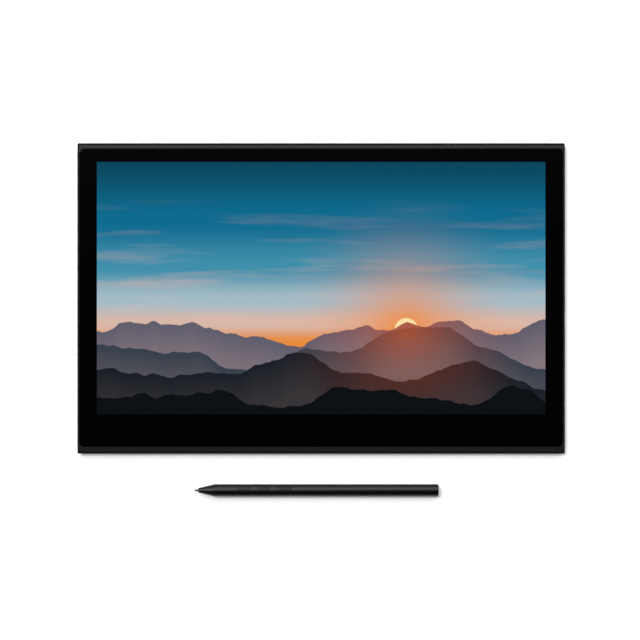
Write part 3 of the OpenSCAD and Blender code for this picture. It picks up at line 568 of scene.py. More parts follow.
    @staticmethod
    def edge_mask(tree: NodeTree, across: NodeSocket, up: NodeSocket) -> NodeSocket:
        """Returns 1 on the panel's dark edge and 0 inside the picture area."""
        half = 0.5
        wide, deep = (
            add(tree, "ShaderNodeMath", {0: place, 1: half, 2: half}, operation="COMPARE").outputs["Value"]
            for place in (across, up)
        )
        inside = add(tree, "ShaderNodeMath", {0: wide, 1: deep}, operation="MULTIPLY").outputs["Value"]
        return add(tree, "ShaderNodeMath", {0: inside, 1: half}, operation="LESS_THAN").outputs["Value"]


# Satin two-part coat on die-cast magnesium: an even dark grey with a soft sheen where it faces the light
FRAME_COAT = Finish("Satin_coat_on_die_cast_magnesium", "#1A1C1E", 0.42, specular=0.12, grain_mm=0.5)
# The same casting with a matte powder coat: a deeper black with hardly any sheen, a faint grit at close range
COVER_COAT = Finish(
    "Matte_powder_coat_on_die_cast_magnesium", "#121316", 0.6, specular=0.15, grain_mm=0.7, relief_mm=0.01
)
# Glass with an anti-reflection coat and black ceramic ink on its back: a deep black under a held-back gloss
BORDER_GLASS = Finish(
    "Coated_glass_over_black_print", "#020203", 0.05, specular=0.2, grain_mm=4.0, relief_mm=0.0002
)
# Optically clear adhesive sheet: pale and glossy where it is bare
CLEAR_BOND = Finish("Optically_clear_adhesive", "#DCE6E8", 0.25)
# Closed-cell foam tape: dull and black
FOAM_TAPE = Finish("Closed_cell_foam_tape", "#111112", 0.95, specular=0.2, grain_mm=0.4, relief_mm=0.03)
# Moulded thermoplastic elastomer: dull black with a soft bloom
FOOT_RUBBER = Finish("Moulded_elastomer", "#141415", 0.85, specular=0.3, grain_mm=0.6, relief_mm=0.01)
# Spark-eroded mould texture on polycarbonate: satin black
PEN_SATIN = Finish("Satin_moulded_polycarbonate", "#060607", 0.3, specular=0.3, grain_mm=0.45, relief_mm=0.003)
# The same plastic from a blasted mould: duller, so that the switches stand out from the barrel
SWITCH_SATIN = Finish("Dull_moulded_polycarbonate", "#08080A", 0.34, specular=0.2, grain_mm=0.5, relief_mm=0.002)
# Acetal rod: mid grey and waxy
NIB_ACETAL = Finish("Extruded_acetal", "#58595B", 0.4, specular=0.4, grain_mm=0.3, relief_mm=0.003)
# Deep-drawn stainless steel: bright with fine lines
SOCKET_STEEL = DrawnMetal("Deep_drawn_stainless_steel", "#A9AAAD", 0.3, metallic=1.0)
# Tinned sheet steel: pale grey and a little cloudy
TINNED_SHEET = DrawnMetal("Tinned_sheet_steel", "#B9BABC", 0.38, metallic=1.0, line_mm=0.6)
# Zinc-plated screws: grey and bright
PLATED_STEEL = DrawnMetal("Zinc_plated_steel", "#8E9094", 0.35, metallic=1.0)
# Gold flash on copper contacts
GOLD_FLASH = DrawnMetal("Gold_plated_copper", "#D8AE58", 0.25, metallic=1.0)
# Enamelled copper wire: warm and glossy
COIL_WIRE = Finish("Enamelled_copper_wire", "#B06A34", 0.3, metallic=1.0, grain_mm=0.2)
# Pressed and fired ferrite: charcoal with a fine tooth
FERRITE = Finish("Sintered_ferrite", "#2A2A2D", 0.7, grain_mm=0.15, relief_mm=0.01)
# Black glass-filled moulding compound of chips and socket tongues
MOULDED_EPOXY = Finish("Moulded_epoxy", "#151517", 0.55, grain_mm=0.2)
# Natural liquid-crystal polymer of small connectors: ivory and dull
CONNECTOR_RESIN = Finish("Moulded_ivory_resin", "#DAD6C8", 0.5)
# Soft silicone gap filler: grey blue and dull
GAP_PAD = Finish("Cast_silicone_gap_filler", "#6E7C88", 0.9, specular=0.3)
# Glossy green solder mask with tracks
BOARD_MASK = SolderMask("Green_solder_mask", "#0F4A2E", 0.35)
# Amber polyimide with copper conductors
FLEX_ALONG_Y = StripedFilm("Polyimide_film_along_Y", "#A8601C", 0.3, run=Run.ALONG_Y)
FLEX_ALONG_X = StripedFilm("Polyimide_film_along_X", "#A8601C", 0.3, run=Run.ALONG_X)
# White glass-filled nylon of the pen's inner carrier
CARRIER_NYLON = Finish("Moulded_white_nylon", "#D9D9D6", 0.55)


def body_of(node: str) -> str:
    """Returns the name of the body that a CAD node belongs to."""
    bodies = frame["record"]["behaviour"]["bodies"]
    return next(body for body, members in bodies.items() if node in members)


def dress(finish: Finish, *nodes: str) -> None:
    """Gives CAD nodes that are shown as they are their finish.

    Args:
        finish: The finish.
        *nodes: Names of the CAD nodes.
    """
    for node in nodes:
        mesh = frame["nodes"][node].data
        mesh.materials.clear()
        mesh.materials.append(finish.material())
        LOG.info("%s: %s", node, finish.title)


def settle(piece: Object, node: str, stands_for: Sequence[str] = ()) -> Object:
    """Fixes a finished piece to the body of a CAD node.

    Args:
        piece: The piece, in place.
        node: CAD node that names the body.
        stands_for: CAD nodes that the piece is shown instead of.

    Returns:
        The piece.
    """
    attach(piece, body_of(node))
    if stands_for:
        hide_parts(*stands_for)
    LOG.info("%s: %d faces, on %s", piece.name, len(piece.data.polygons), body_of(node))
    return piece


def as_object(name: str, mesh: Mesh) -> Object:
    """Links a mesh into the scene as an object at the origin and returns it."""
    made = bpy.data.objects.new(name, mesh)
    bpy.context.scene.collection.objects.link(made)
    return made


def baked(name: str, source: Object) -> Mesh:
    """Returns a plain mesh of an object as its modifiers leave it."""
    view = bpy.context.evaluated_depsgraph_get()
    mesh = bpy.data.meshes.new_from_object(source.evaluated_get(view))
    mesh.name = name
    return mesh


def shaded(name: str, work: bmesh.types.BMesh, sharp_deg: float, *finishes: Finish) -> Object:
    """Makes a smooth-shaded object whose large faces stay flat up to the roundings beside them.

    Args:
        name: Name of the object.
        work: Its faces, which are freed.
        sharp_deg: Edges that turn more than this stay sharp.
        *finishes: Finishes of its material slots.

    Returns:
        The object, at the origin.
    """
    mesh = bpy.data.meshes.new(name)
    work.to_mesh(mesh)
    work.free()
    stored = mesh.attributes.get("custom_normal")
    if stored is not None:
        # Normals that came with a solid don't fit its rounded faces
        mesh.attributes.remove(stored)
    for finish in finishes:
        mesh.materials.append(finish.material())
    mesh.shade_smooth()
    mesh.set_sharp_from_angle(angle=math.radians(sharp_deg))
    made = as_object(name, mesh)
    made.modifiers.new("Area normals", "WEIGHTED_NORMAL").keep_sharp = True
    made.data = baked(name, made)
    made.modifiers.clear()
    bpy.data.meshes.remove(mesh)
    return made


def rounded_copy(
    node: str, name: str, finish: Finish, width: float, picked: Callable[[Vector], bool] = lambda corner: True
) -> Object:
    """Copies a CAD node as a piece with whole faces and rounded edges.

    Args:
        node: The CAD node.
        name: Name of the piece.
        finish: Its finish.
        width: Width of the rounding, in metres.
        picked: Says for a corner whether edges between such corners are rounded.

    Returns:
        The piece.
    """
    work = bmesh.new()
    work.from_mesh(frame["nodes"][node].data)
    bmesh.ops.remove_doubles(work, verts=work.verts, dist=MERGE)
    flat, sharp = math.radians(FLAT_DEG), math.radians(ROUNDED_DEG)
    bmesh.ops.dissolve_limit(work, angle_limit=flat, verts=work.verts, edges=work.edges, delimit={"NORMAL"})
    edges = [
        e
        for e in work.edges
        if len(e.link_faces) == 2 and e.calc_face_angle(0.0) > sharp and all(picked(v.co) for v in e.verts)
    ]
    bmesh.ops.bevel(
        work,
        geom=edges,
        offset=width,
        offset_type="OFFSET",
        segments=ROUND_FACETS,
        profile=ROUND_PROFILE,
        affect="EDGES",
    )
    bmesh.ops.dissolve_degenerate(work, dist=MERGE, edges=work.edges)
    return shaded(name, work, CREASE_DEG, finish)


# Inputs of every tree that lays a row
ROW_SIZES = {
    "Count": "NodeSocketInt",
    "Start": "NodeSocketVector",
    "Step": "NodeSocketVector",
    "Finish": "NodeSocketMaterial",
}


def size_tree(name: str, sizes: Mapping[str, str]) -> tuple[NodeTree, Mapping[str, NodeSocket]]:
    """Starts a Geometry Nodes tree with named inputs.

    Args:
        name: Name of the tree.
        sizes: Socket type of each input, by its name.

    Returns:
        The tree and its input sockets by name.
    """
    tree = bpy.data.node_groups.new(name, "GeometryNodeTree")
    for label, kind in sizes.items():
        tree.interface.new_socket(name=label, in_out="INPUT", socket_type=kind)
    tree.interface.new_socket(name="Geometry", in_out="OUTPUT", socket_type="NodeSocketGeometry")
    return tree, add(tree, "NodeGroupInput").outputs


def lay_row(tree: NodeTree, size: Mapping[str, NodeSocket], shape: NodeSocket) -> NodeSocket:
    """Repeats a shape along a straight row.

    Args:
        tree: The tree.
        size: Its inputs, with those of a row among them.
        shape: Geometry of one shape.

    Returns:
        The row, as instances.
    """
    row = add(
        tree,
        "GeometryNodeMeshLine",
        {"Count": size["Count"], "Start Location": size["Start"], "Offset": size["Step"]},
        mode="OFFSET",
    )
    laid = add(tree, "GeometryNodeInstanceOnPoints", {"Points": row.outputs["Mesh"], "Instance": shape})
    return laid.outputs["Instances"]


def close_tree(tree: NodeTree, shape: NodeSocket, finish: NodeSocket) -> None:
    """Ends a tree in real geometry with its material.

    Args:
        tree: The tree.
        shape: Geometry, with or without instances.
        finish: Material socket.
    """
    real = add(tree, "GeometryNodeRealizeInstances", {"Geometry": shape})
    painted = add(tree, "GeometryNodeSetMaterial", {"Geometry": real.outputs[0], "Material": finish})
    add(tree, "NodeGroupOutput", {"Geometry": painted.outputs[0]})


def grow(name: str, tree: NodeTree, sizes: Mapping[str, Any]) -> Object:
    """Runs a tree and keeps its result as a plain mesh.

    Args:
        name: Name of the piece.
        tree: The tree.
        sizes: Values of its inputs, by name.

    Returns:
        The piece.
    """
    seed = as_object(name + "_seed", bpy.data.meshes.new(name + "_seed"))
    modifier = seed.modifiers.new(tree.name, "NODES")
    modifier.node_group = tree
    for socket in tree.interface.items_tree:
        if socket.in_out == "INPUT":
            modifier[socket.identifier] = sizes[socket.name]
    mesh = baked(name, seed)
    bpy.data.objects.remove(seed)
    return as_object(name, mesh)


@dataclass
class GlassFront:
    """Cover glass, bonded to the lit panel, with its black printed border.

    Attributes:
        panel_edge: Dark edge of the panel round the picture.
        panel_ledge: Depth of the panel's ledge before the picture.
        corner_radius: Radius of the glass's corners.
        edge_round: Rounding of the glass's upper edge.
        round_steps: Facets across that rounding.
        corner_steps: Facets round a corner.
        sharp_deg: Edges that turn more than this stay sharp.
    """

    panel_edge: float = 1.8 * MM
    panel_ledge: float = 3.5 * MM
    corner_radius: float = 2.7 * MM
    edge_round: float = 0.12 * MM
    round_steps: int = 3
    corner_steps: int = 10
    sharp_deg: float = 40.0

    def build(self) -> list[Object]:
        """Makes the glass and lights the panel.

        Returns:
            The new pieces.
        """
        low, high = self.picture_area()
        # The coated glass where the lit panel lies under it: colours that shine by themselves
        picture = LitPicture(
            "Coated_glass_over_lit_panel",
            BORDER_GLASS.colour,
            BORDER_GLASS.roughness,
            specular=BORDER_GLASS.specular,
            corner=(low.x, low.y),
            extent=(high.x - low.x, high.y - low.y),
        )
        glass = settle(self.front_glass(picture), "cover_glass", ["cover_glass"])
        dress(picture, "display_panel")
        dress(CLEAR_BOND, "optical_bond")
        dress(FOAM_TAPE, "glass_gasket", "panel_cushion")
        return [glass]

    def picture_area(self) -> tuple[Vector, Vector]:
        """Returns the corners of the picture area, on the panel's box."""
        low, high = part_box("display_panel")
        edge = Vector((self.panel_edge, self.panel_edge, 0.0))
        return low + Vector((self.panel_edge, self.panel_ledge, 0.0)), high - edge

    def front_glass(self, picture: Finish) -> Object:
        """Makes the glass as one closed slab, with the picture as a face of its own in the upper side.

        Args:
            picture: Finish of the picture area.

        Returns:
            The piece.
        """
        low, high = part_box("cover_glass")
        work = bmesh.new()
        levels = [(low.z, 0.0)]
        for step in range(self.round_steps + 1):
            turn = step / self.round_steps * math.pi / 2
            levels.append(
                (high.z - self.edge_round * (1 - math.sin(turn)), self.edge_round * (1 - math.cos(turn)))
            )
        rings = []
        for level, inset in levels:
            shrink = Vector((inset, inset, 0.0))
            points = self.outline(low + shrink, high - shrink, self.corner_radius - inset)
            rings.append([work.verts.new((x, y, level)) for x, y in points])
        work.faces.new(rings[0][::-1])
        for below, above in zip(rings, rings[1:]):
            for i, corner in enumerate(below):
                j = i - 1
                work.faces.new((below[j], corner, above[i], above[j]))
        near, far = self.picture_area()
        window = [
            work.verts.new((x, y, high.z))
            for x, y in ((near.x, near.y), (far.x, near.y), (far.x, far.y), (near.x, far.y))
        ]
        lit = work.faces.new(window)
        lit.material_index = 1
        border = [
            work.edges.get((a, b)) for ring in (rings[-1], window) for a, b in zip(ring, ring[1:] + ring[:1])
        ]
        bmesh.ops.triangle_fill(work, use_beauty=True, edges=border, normal=(0.0, 0.0, 1.0))
        bmesh.ops.recalc_face_normals(work, faces=work.faces)
        return shaded("front_glass", work, self.sharp_deg, BORDER_GLASS, picture)

    def outline(self, low: Vector, high: Vector, radius: float) -> list[tuple[float, float]]:
        """Lays out a rectangle with round corners.

        Args:
            low: Lowest corner.
            high: Highest corner.
            radius: Corner radius.

        Returns:
            Points in order round the outline.
        """
        middles = [
            (high.x - radius, high.y - radius),
            (low.x + radius, high.y - radius),
            (low.x + radius, low.y + radius),
            (high.x - radius, low.y + radius),
        ]
        points = []
        for quarter, (x, y) in enumerate(middles):
            for step in range(self.corner_steps + 1):
                turn = (quarter + step / self.corner_steps) * math.pi / 2
                points.append((x + radius * math.cos(turn), y + radius * math.sin(turn)))
        return points


@dataclass
class Housing:
    """Mid frame, rear cover and rubber feet.

    Attributes:
        edge: Rounding of the castings' outer edges.
        wall: Depth of the zone along the sides whose edges are rounded.
        tread_depth: Depth of the grooves in the feet's underside.
        tread_pitch: Distance from rib to rib.
        tread_radius: Radius of a rib's back.
        tread_margin: Distance of the ribs' ends from the strip's sides.
        rib_sides: Facets round a rib.
        strip_edge: Rounding of the strips' edges.
    """

    edge: float = 0.12 * MM
    wall: float = 1.4 * MM
    tread_depth: float = 0.15 * MM
    tread_pitch: float = 1.6 * MM
    tread_radius: float = 0.4 * MM
    tread_margin: float = 0.8 * MM
    rib_sides: int = 10
    strip_edge: float = 0.1 * MM

    def build(self) -> list[Object]:
        """Makes the castings and the feet.

        Returns:
            The new pieces.
        """
        low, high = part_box("rear_cover")
        seam = high.z - MERGE

        def on_rim(corner: Vector) -> bool:
            """Says whether a corner of the frame lies on its rim."""
            return corner.z > seam

        def on_outside(corner: Vector) -> bool:
            """Says whether a corner of the cover lies near its outer walls."""
            return min(*(corner - low).xy, *(high - corner).xy) < self.wall

        rim = rounded_copy("mid_frame", "frame_casting", self.rim_coat_with_painted_shade(), self.edge, on_rim)
        tub = rounded_copy("rear_cover", "cover_casting", COVER_COAT, self.edge, on_outside)
        made = [
            settle(rim, "mid_frame", ["mid_frame"]),
            settle(tub, "rear_cover", ["rear_cover"]),
        ]
        tree = self.tread_tree()
        for node in ("foot_far", "foot_near"):
            made += self.foot(node, tree)
        dress(PLATED_STEEL, "cover_screws", "board_screws")
        return made

    @staticmethod
    def rim_coat_with_painted_shade() -> Finish:
        """Returns the frame's coat, with a fine painted shade line in which the rim ends all round."""
        low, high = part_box("mid_frame")
        middle, half = (low + high) / 2, (high - low) / 2
        # The satin coat of the frame, with painted shade over its outer edge: a fine black outline that stands in
        # for the shade on that edge
        return PaintedShadeEdgeCoat(
            "Satin_coat_with_matte_black_edge",
            FRAME_COAT.colour,
            FRAME_COAT.roughness,
            specular=FRAME_COAT.specular,
            grain_mm=FRAME_COAT.grain_mm,
            middle=(middle.x, middle.y),
            half=(half.x, half.y),
        )

    def foot(self, node: str, tree: NodeTree) -> list[Object]:
        """Makes one foot strip with its ribbed tread.

        Args:
            node: CAD node of the strip.
            tree: Tree of the tread.

        Returns:
            The strip and its tread.
        """
        low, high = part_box(node)
        strip = rounded_copy(node, node + "_strip", FOOT_RUBBER, self.strip_edge)
        for corner in strip.data.vertices:
            if corner.co.z < (low.z + high.z) / 2:
                corner.co.z += self.tread_depth
        width = high.y - low.y
        reach = high.x - low.x - width
        count = int(reach / self.tread_pitch) + 1
        tread = grow(
            node + "_tread",
            tree,
            {
                "Count": count,
                "Step": (self.tread_pitch, 0.0, 0.0),
                "Start": (-(count - 1) * self.tread_pitch / 2, (low.y + high.y) / 2, low.z + self.tread_radius),
                "Rib Length": width - 2 * self.tread_margin,
                "Rib Radius": self.tread_radius,
                "Rib Sides": self.rib_sides,
                "Finish": FOOT_RUBBER.material(),
            },
        )
        return [settle(strip, node, [node]), settle(tread, node)]

    @staticmethod
    def tread_tree() -> NodeTree:
        """Builds the tree that lays round-backed ribs across a foot strip.

        Returns:
            The tree.
        """
        tree, size = size_tree(
            "Foot tread",
            {
                **ROW_SIZES,
                "Rib Length": "NodeSocketFloat",
                "Rib Radius": "NodeSocketFloat",
                "Rib Sides": "NodeSocketInt",
            },
        )
        rib = add(
            tree,
            "GeometryNodeMeshCylinder",
            {"Vertices": size["Rib Sides"], "Radius": size["Rib Radius"], "Depth": size["Rib Length"]},
        )
        across = (math.pi / 2, 0.0, 0.0)
        laid = add(tree, "GeometryNodeTransform", {"Geometry": rib.outputs["Mesh"], "Rotation": across})
        close_tree(tree, lay_row(tree, size, laid.outputs["Geometry"]), size["Finish"])
        return tree


@dataclass
class SideSockets:
    """The two side sockets, with gold contacts on both faces of their tongues.

    Attributes:
        contacts: Contacts on one face of a tongue.
        pitch: Distance from contact to contact.
        contact_length: Length of a contact.
        contact_width: Width of a contact.
        contact_thick: How far a contact stands out of the tongue.
        tip_gap: Distance of the contacts from the tongue's end.
        half_blade: Half the thickness of a tongue's blade.
        edge: Rounding of the shells' and tongues' edges.
    """

    contacts: int = 12
    pitch: float = 0.5 * MM
    contact_length: float = 3.4 * MM
    contact_width: float = 0.28 * MM
    contact_thick: float = 0.03 * MM
    tip_gap: float = 0.5 * MM
    half_blade: float = 0.35 * MM
    edge: float = 0.06 * MM

    def build(self) -> list[Object]:
        """Makes the shells, tongues and contacts.

        Returns:
            The new pieces.
        """
        tree = self.contact_tree()
        made = []
        for side in Side:
            label = side.name.lower()
            shell, tongue = f"usb_shell_{label}", f"usb_tongue_{label}"
            drawn = rounded_copy(shell, f"socket_shell_{label}", SOCKET_STEEL, self.edge)
            moulded = rounded_copy(tongue, f"socket_tongue_{label}", MOULDED_EPOXY, self.edge)
            made += [
                settle(drawn, shell, [shell]),
                settle(moulded, tongue, [tongue]),
                settle(self.contact_rows(side, tongue, tree), tongue),
            ]
        return made

    def contact_rows(self, side: Side, tongue: str, tree: NodeTree) -> Object:
        """Lays the contacts on one tongue.

        Args:
            side: Side of the tablet.
            tongue: CAD node of the tongue.
            tree: Tree of the contacts.

        Returns:
            The piece.
        """
        low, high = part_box(tongue)
        middle = (low + high) / 2
        tip = high.x if side is Side.RIGHT else low.x
        row = (self.contacts - 1) * self.pitch
        return grow(
            f"socket_contacts_{side.name.lower()}",
            tree,
            {
                "Count": self.contacts,
                "Step": (0.0, self.pitch, 0.0),
                "Start": (
                    tip - side.value * (self.tip_gap + self.contact_length / 2),
                    middle.y - row / 2,
                    middle.z + self.half_blade,
                ),
                "Fall": (0.0, 0.0, -2 * self.half_blade),
                "Contact": (self.contact_length, self.contact_width, 2 * self.contact_thick),
                "Finish": GOLD_FLASH.material(),
            },
        )

    @staticmethod
    def contact_tree() -> NodeTree:
        """Builds the tree that lays a row of contacts on each face of a tongue.

        Returns:
            The tree.
        """
        tree, size = size_tree(
            "Socket contacts", {**ROW_SIZES, "Fall": "NodeSocketVector", "Contact": "NodeSocketVector"}
        )
        bar = add(tree, "GeometryNodeMeshCube", {"Size": size["Contact"]})
        upper = lay_row(tree, size, bar.outputs["Mesh"])
        lower = add(tree, "GeometryNodeTransform", {"Geometry": upper, "Translation": size["Fall"]})
        rows = add(tree, "GeometryNodeJoinGeometry", {"Geometry": upper})
        tree.links.new(lower.outputs["Geometry"], rows.inputs["Geometry"])
        close_tree(tree, rows.outputs["Geometry"], size["Finish"])
        return tree


@dataclass
class PowerKey:
    """Power button in the left wall and the switch behind it.

    Attributes:
        edge: Rounding of the button's edges.
    """

    edge: float = 0.1 * MM

    def build(self) -> list[Object]:
        """Makes the button and dresses the switch.

        Returns:
            The new pieces.
        """
        button = rounded_copy("power_button", "power_button_cap", FRAME_COAT, self.edge)
        dress(CONNECTOR_RESIN, "power_switch")
        return [settle(button, "power_button", ["power_button"])]


@dataclass
class Electronics:
    """Boards, films and cables inside the tablet."""

    def build(self) -> list[Object]:
        """Dresses the inner nodes, which are shown as they are.

        Returns:
            No new pieces.
        """
        dress(BOARD_MASK, "digitizer_board", "main_board", "driver_board", "port_board_left", "port_board_right")
        dress(TINNED_SHEET, "shield_sheet", "shield_can")
        dress(MOULDED_EPOXY, "board_chips")
        dress(GAP_PAD, "thermal_pad")
        dress(CONNECTOR_RESIN, "flex_connectors")
        dress(FLEX_ALONG_Y, "display_cable", "digitizer_cable", "driver_films")
        dress(FLEX_ALONG_X, "port_cable_left", "port_cable_right")
        return []


@dataclass
class Pen:
    """The pen, from its nib to its end cap.

    Attributes:
        edge: Rounding of the barrel's and cap's edges.
        fine_edge: Rounding of the cone's, nib's and side switches' edges.
        crisp_edge: Rounding of the edges of the bezel round the side switches.
        seam_zone: Distance from the barrel's ends within which edges stay crisp, so that its seams are fine.
        switch_crown: Radius of the side switches' crowns.
        even: Largest difference of the corners' distances from the axis on a round face.
        square_deg: Largest angle between a round face and the tangent there.
        wire: Radius of the coil's wire.
        coil_gap: Clearance between one turn and the next.
        turn_steps: Facets round one turn.
        wire_sides: Facets round the wire.
    """

    edge: float = 0.1 * MM
    fine_edge: float = 0.06 * MM
    crisp_edge: float = 0.025 * MM
    seam_zone: float = 0.3 * MM
    switch_crown: float = 8.0 * MM
    even: float = 0.004 * MM
    square_deg: float = 20.0
    wire: float = 0.1 * MM
    coil_gap: float = 0.02 * MM
    turn_steps: int = 24
    wire_sides: int = 6

    def build(self) -> list[Object]:
        """Makes the visible pieces and the coil, and dresses the rest.

        Returns:
            The new pieces.
        """
        plan = [
            ("pen_barrel", PEN_SATIN, self.edge, "pen_plastic"),
            ("pen_cone", PEN_SATIN, self.fine_edge, "pen_plastic"),
            ("pen_end_cap", PEN_SATIN, self.edge, "pen_plastic"),
            ("pen_nib", NIB_ACETAL, self.fine_edge, "nib_plastic"),
            ("pen_switch_bezel", PEN_SATIN, self.crisp_edge, "bezel_plastic"),
        ]
        low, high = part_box("pen_barrel")
        middle = (low + high) / 2

        def off_seams(corner: Vector) -> bool:
            """Says whether a corner lies away from the barrel's two ends."""
            return min(abs(corner.x - low.x), abs(corner.x - high.x)) > self.seam_zone

        made = []
        for node, finish, edge, slot in plan:
            piece = rounded_copy(node, node + "_moulding", finish, edge, off_seams)
            self.true_rounds(piece.data, middle)
            made.append(settle(piece, node, [node]))
        for node in ("pen_switch_front", "pen_switch_middle", "pen_switch_rear"):
            cap = rounded_copy(node, node + "_cap", SWITCH_SATIN, self.fine_edge)
            self.true_rounds(cap.data, self.crown_axis(node, cap.data, middle))
            made.append(settle(cap, node, [node]))
        made.append(settle(self.coil(), "coil_winding", ["coil_winding"]))
        dress(NIB_ACETAL, "spare_nibs")
        dress(CARRIER_NYLON, "nib_holder", "pen_carrier")
        dress(FERRITE, "ferrite_core")
        dress(GOLD_FLASH, "pressure_sensor")
        dress(BOARD_MASK, "pen_board")
        dress(TINNED_SHEET, "switch_domes")
        return made

    def crown_axis(self, node: str, mesh: Mesh, middle: Vector) -> Vector:
        """Finds the axis of a side switch's crown from the way in which the switch moves.

        Args:
            node: CAD node of the switch.
            mesh: Its mesh.
            middle: A point on the pen's axis.

        Returns:
            A point on the crown's axis.
        """
        joints = frame["record"]["behaviour"]["joints"]
        press = next(joint for joint in joints if joint["child"] == body_of(node))
        out = -Vector(press["axis"]).normalized()
        top = max((corner.co - middle).dot(out) for corner in mesh.vertices)
        return middle + out * (top - self.switch_crown)

    def true_rounds(self, mesh: Mesh, middle: Vector) -> None:
        """Gives the faces of the rounds about an axis the normals of the true round.

        Args:
            mesh: Mesh of a piece.
            middle: A point on the axis, which runs along X.
        """
        across = Vector((0.0, 1.0, 1.0))
        normals = [corner.vector.copy() for corner in mesh.corner_normals]
        square = math.cos(math.radians(self.square_deg))
        for face in mesh.polygons:
            spokes = [(mesh.vertices[i].co - middle) * across for i in face.vertices]
            reach = [spoke.length for spoke in spokes]
            hub = (face.center - middle) * across
            if max(reach) - min(reach) < self.even and face.normal.dot(hub.normalized()) > square:
                for corner, spoke in zip(face.loop_indices, spokes):
                    normals[corner] = spoke.normalized()
        mesh.normals_split_custom_set(normals)

    def coil(self) -> Object:
        """Winds the coil round the ferrite core.

        Returns:
            The piece.
        """
        low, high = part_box("coil_winding")
        middle = (low + high) / 2
        length = high.x - low.x - 2 * self.wire
        turns = length / (2 * self.wire + self.coil_gap)
        return grow(
            "pen_coil",
            self.coil_tree(),
            {
                "Turns": turns,
                "Steps": self.turn_steps,
                "Radius": (high.z - low.z) / 2 - self.wire,
                "Length": length,
                "Wire": self.wire,
                "Wire Sides": self.wire_sides,
                "Start": (low.x + self.wire, middle.y, middle.z),
                "Finish": COIL_WIRE.material(),
            },
        )

    @staticmethod
    def coil_tree() -> NodeTree:
        """Builds the tree that winds a wire along X.

        Returns:
            The tree.
        """
        tree, size = size_tree(
            "Pen coil",
            {
                "Turns": "NodeSocketFloat",
                "Steps": "NodeSocketInt",
                "Radius": "NodeSocketFloat",
                "Length": "NodeSocketFloat",
                "Wire": "NodeSocketFloat",
                "Wire Sides": "NodeSocketInt",
                "Start": "NodeSocketVector",
                "Finish": "NodeSocketMaterial",
            },
        )
        helix = add(
            tree,
            "GeometryNodeCurveSpiral",
            {
                "Resolution": size["Steps"],
                "Rotations": size["Turns"],
                "Start Radius": size["Radius"],
                "End Radius": size["Radius"],
                "Height": size["Length"],
            },
        )
        section = add(
            tree, "GeometryNodeCurvePrimitiveCircle", {"Resolution": size["Wire Sides"], "Radius": size["Wire"]}
        )
        wire = add(
            tree,
            "GeometryNodeCurveToMesh",
            {"Curve": helix.outputs["Curve"], "Profile Curve": section.outputs["Curve"], "Fill Caps": True},
        )
        smooth = add(tree, "GeometryNodeSetShadeSmooth", {"Geometry": wire.outputs["Mesh"]})
        laid = add(
            tree,
            "GeometryNodeTransform",
            {
                "Geometry": smooth.outputs["Geometry"],
                "Translation": size["Start"],
                "Rotation": (0.0, math.pi / 2, 0.0),
            },
        )
        close_tree(tree, laid.outputs["Geometry"], size["Finish"])
        return tree


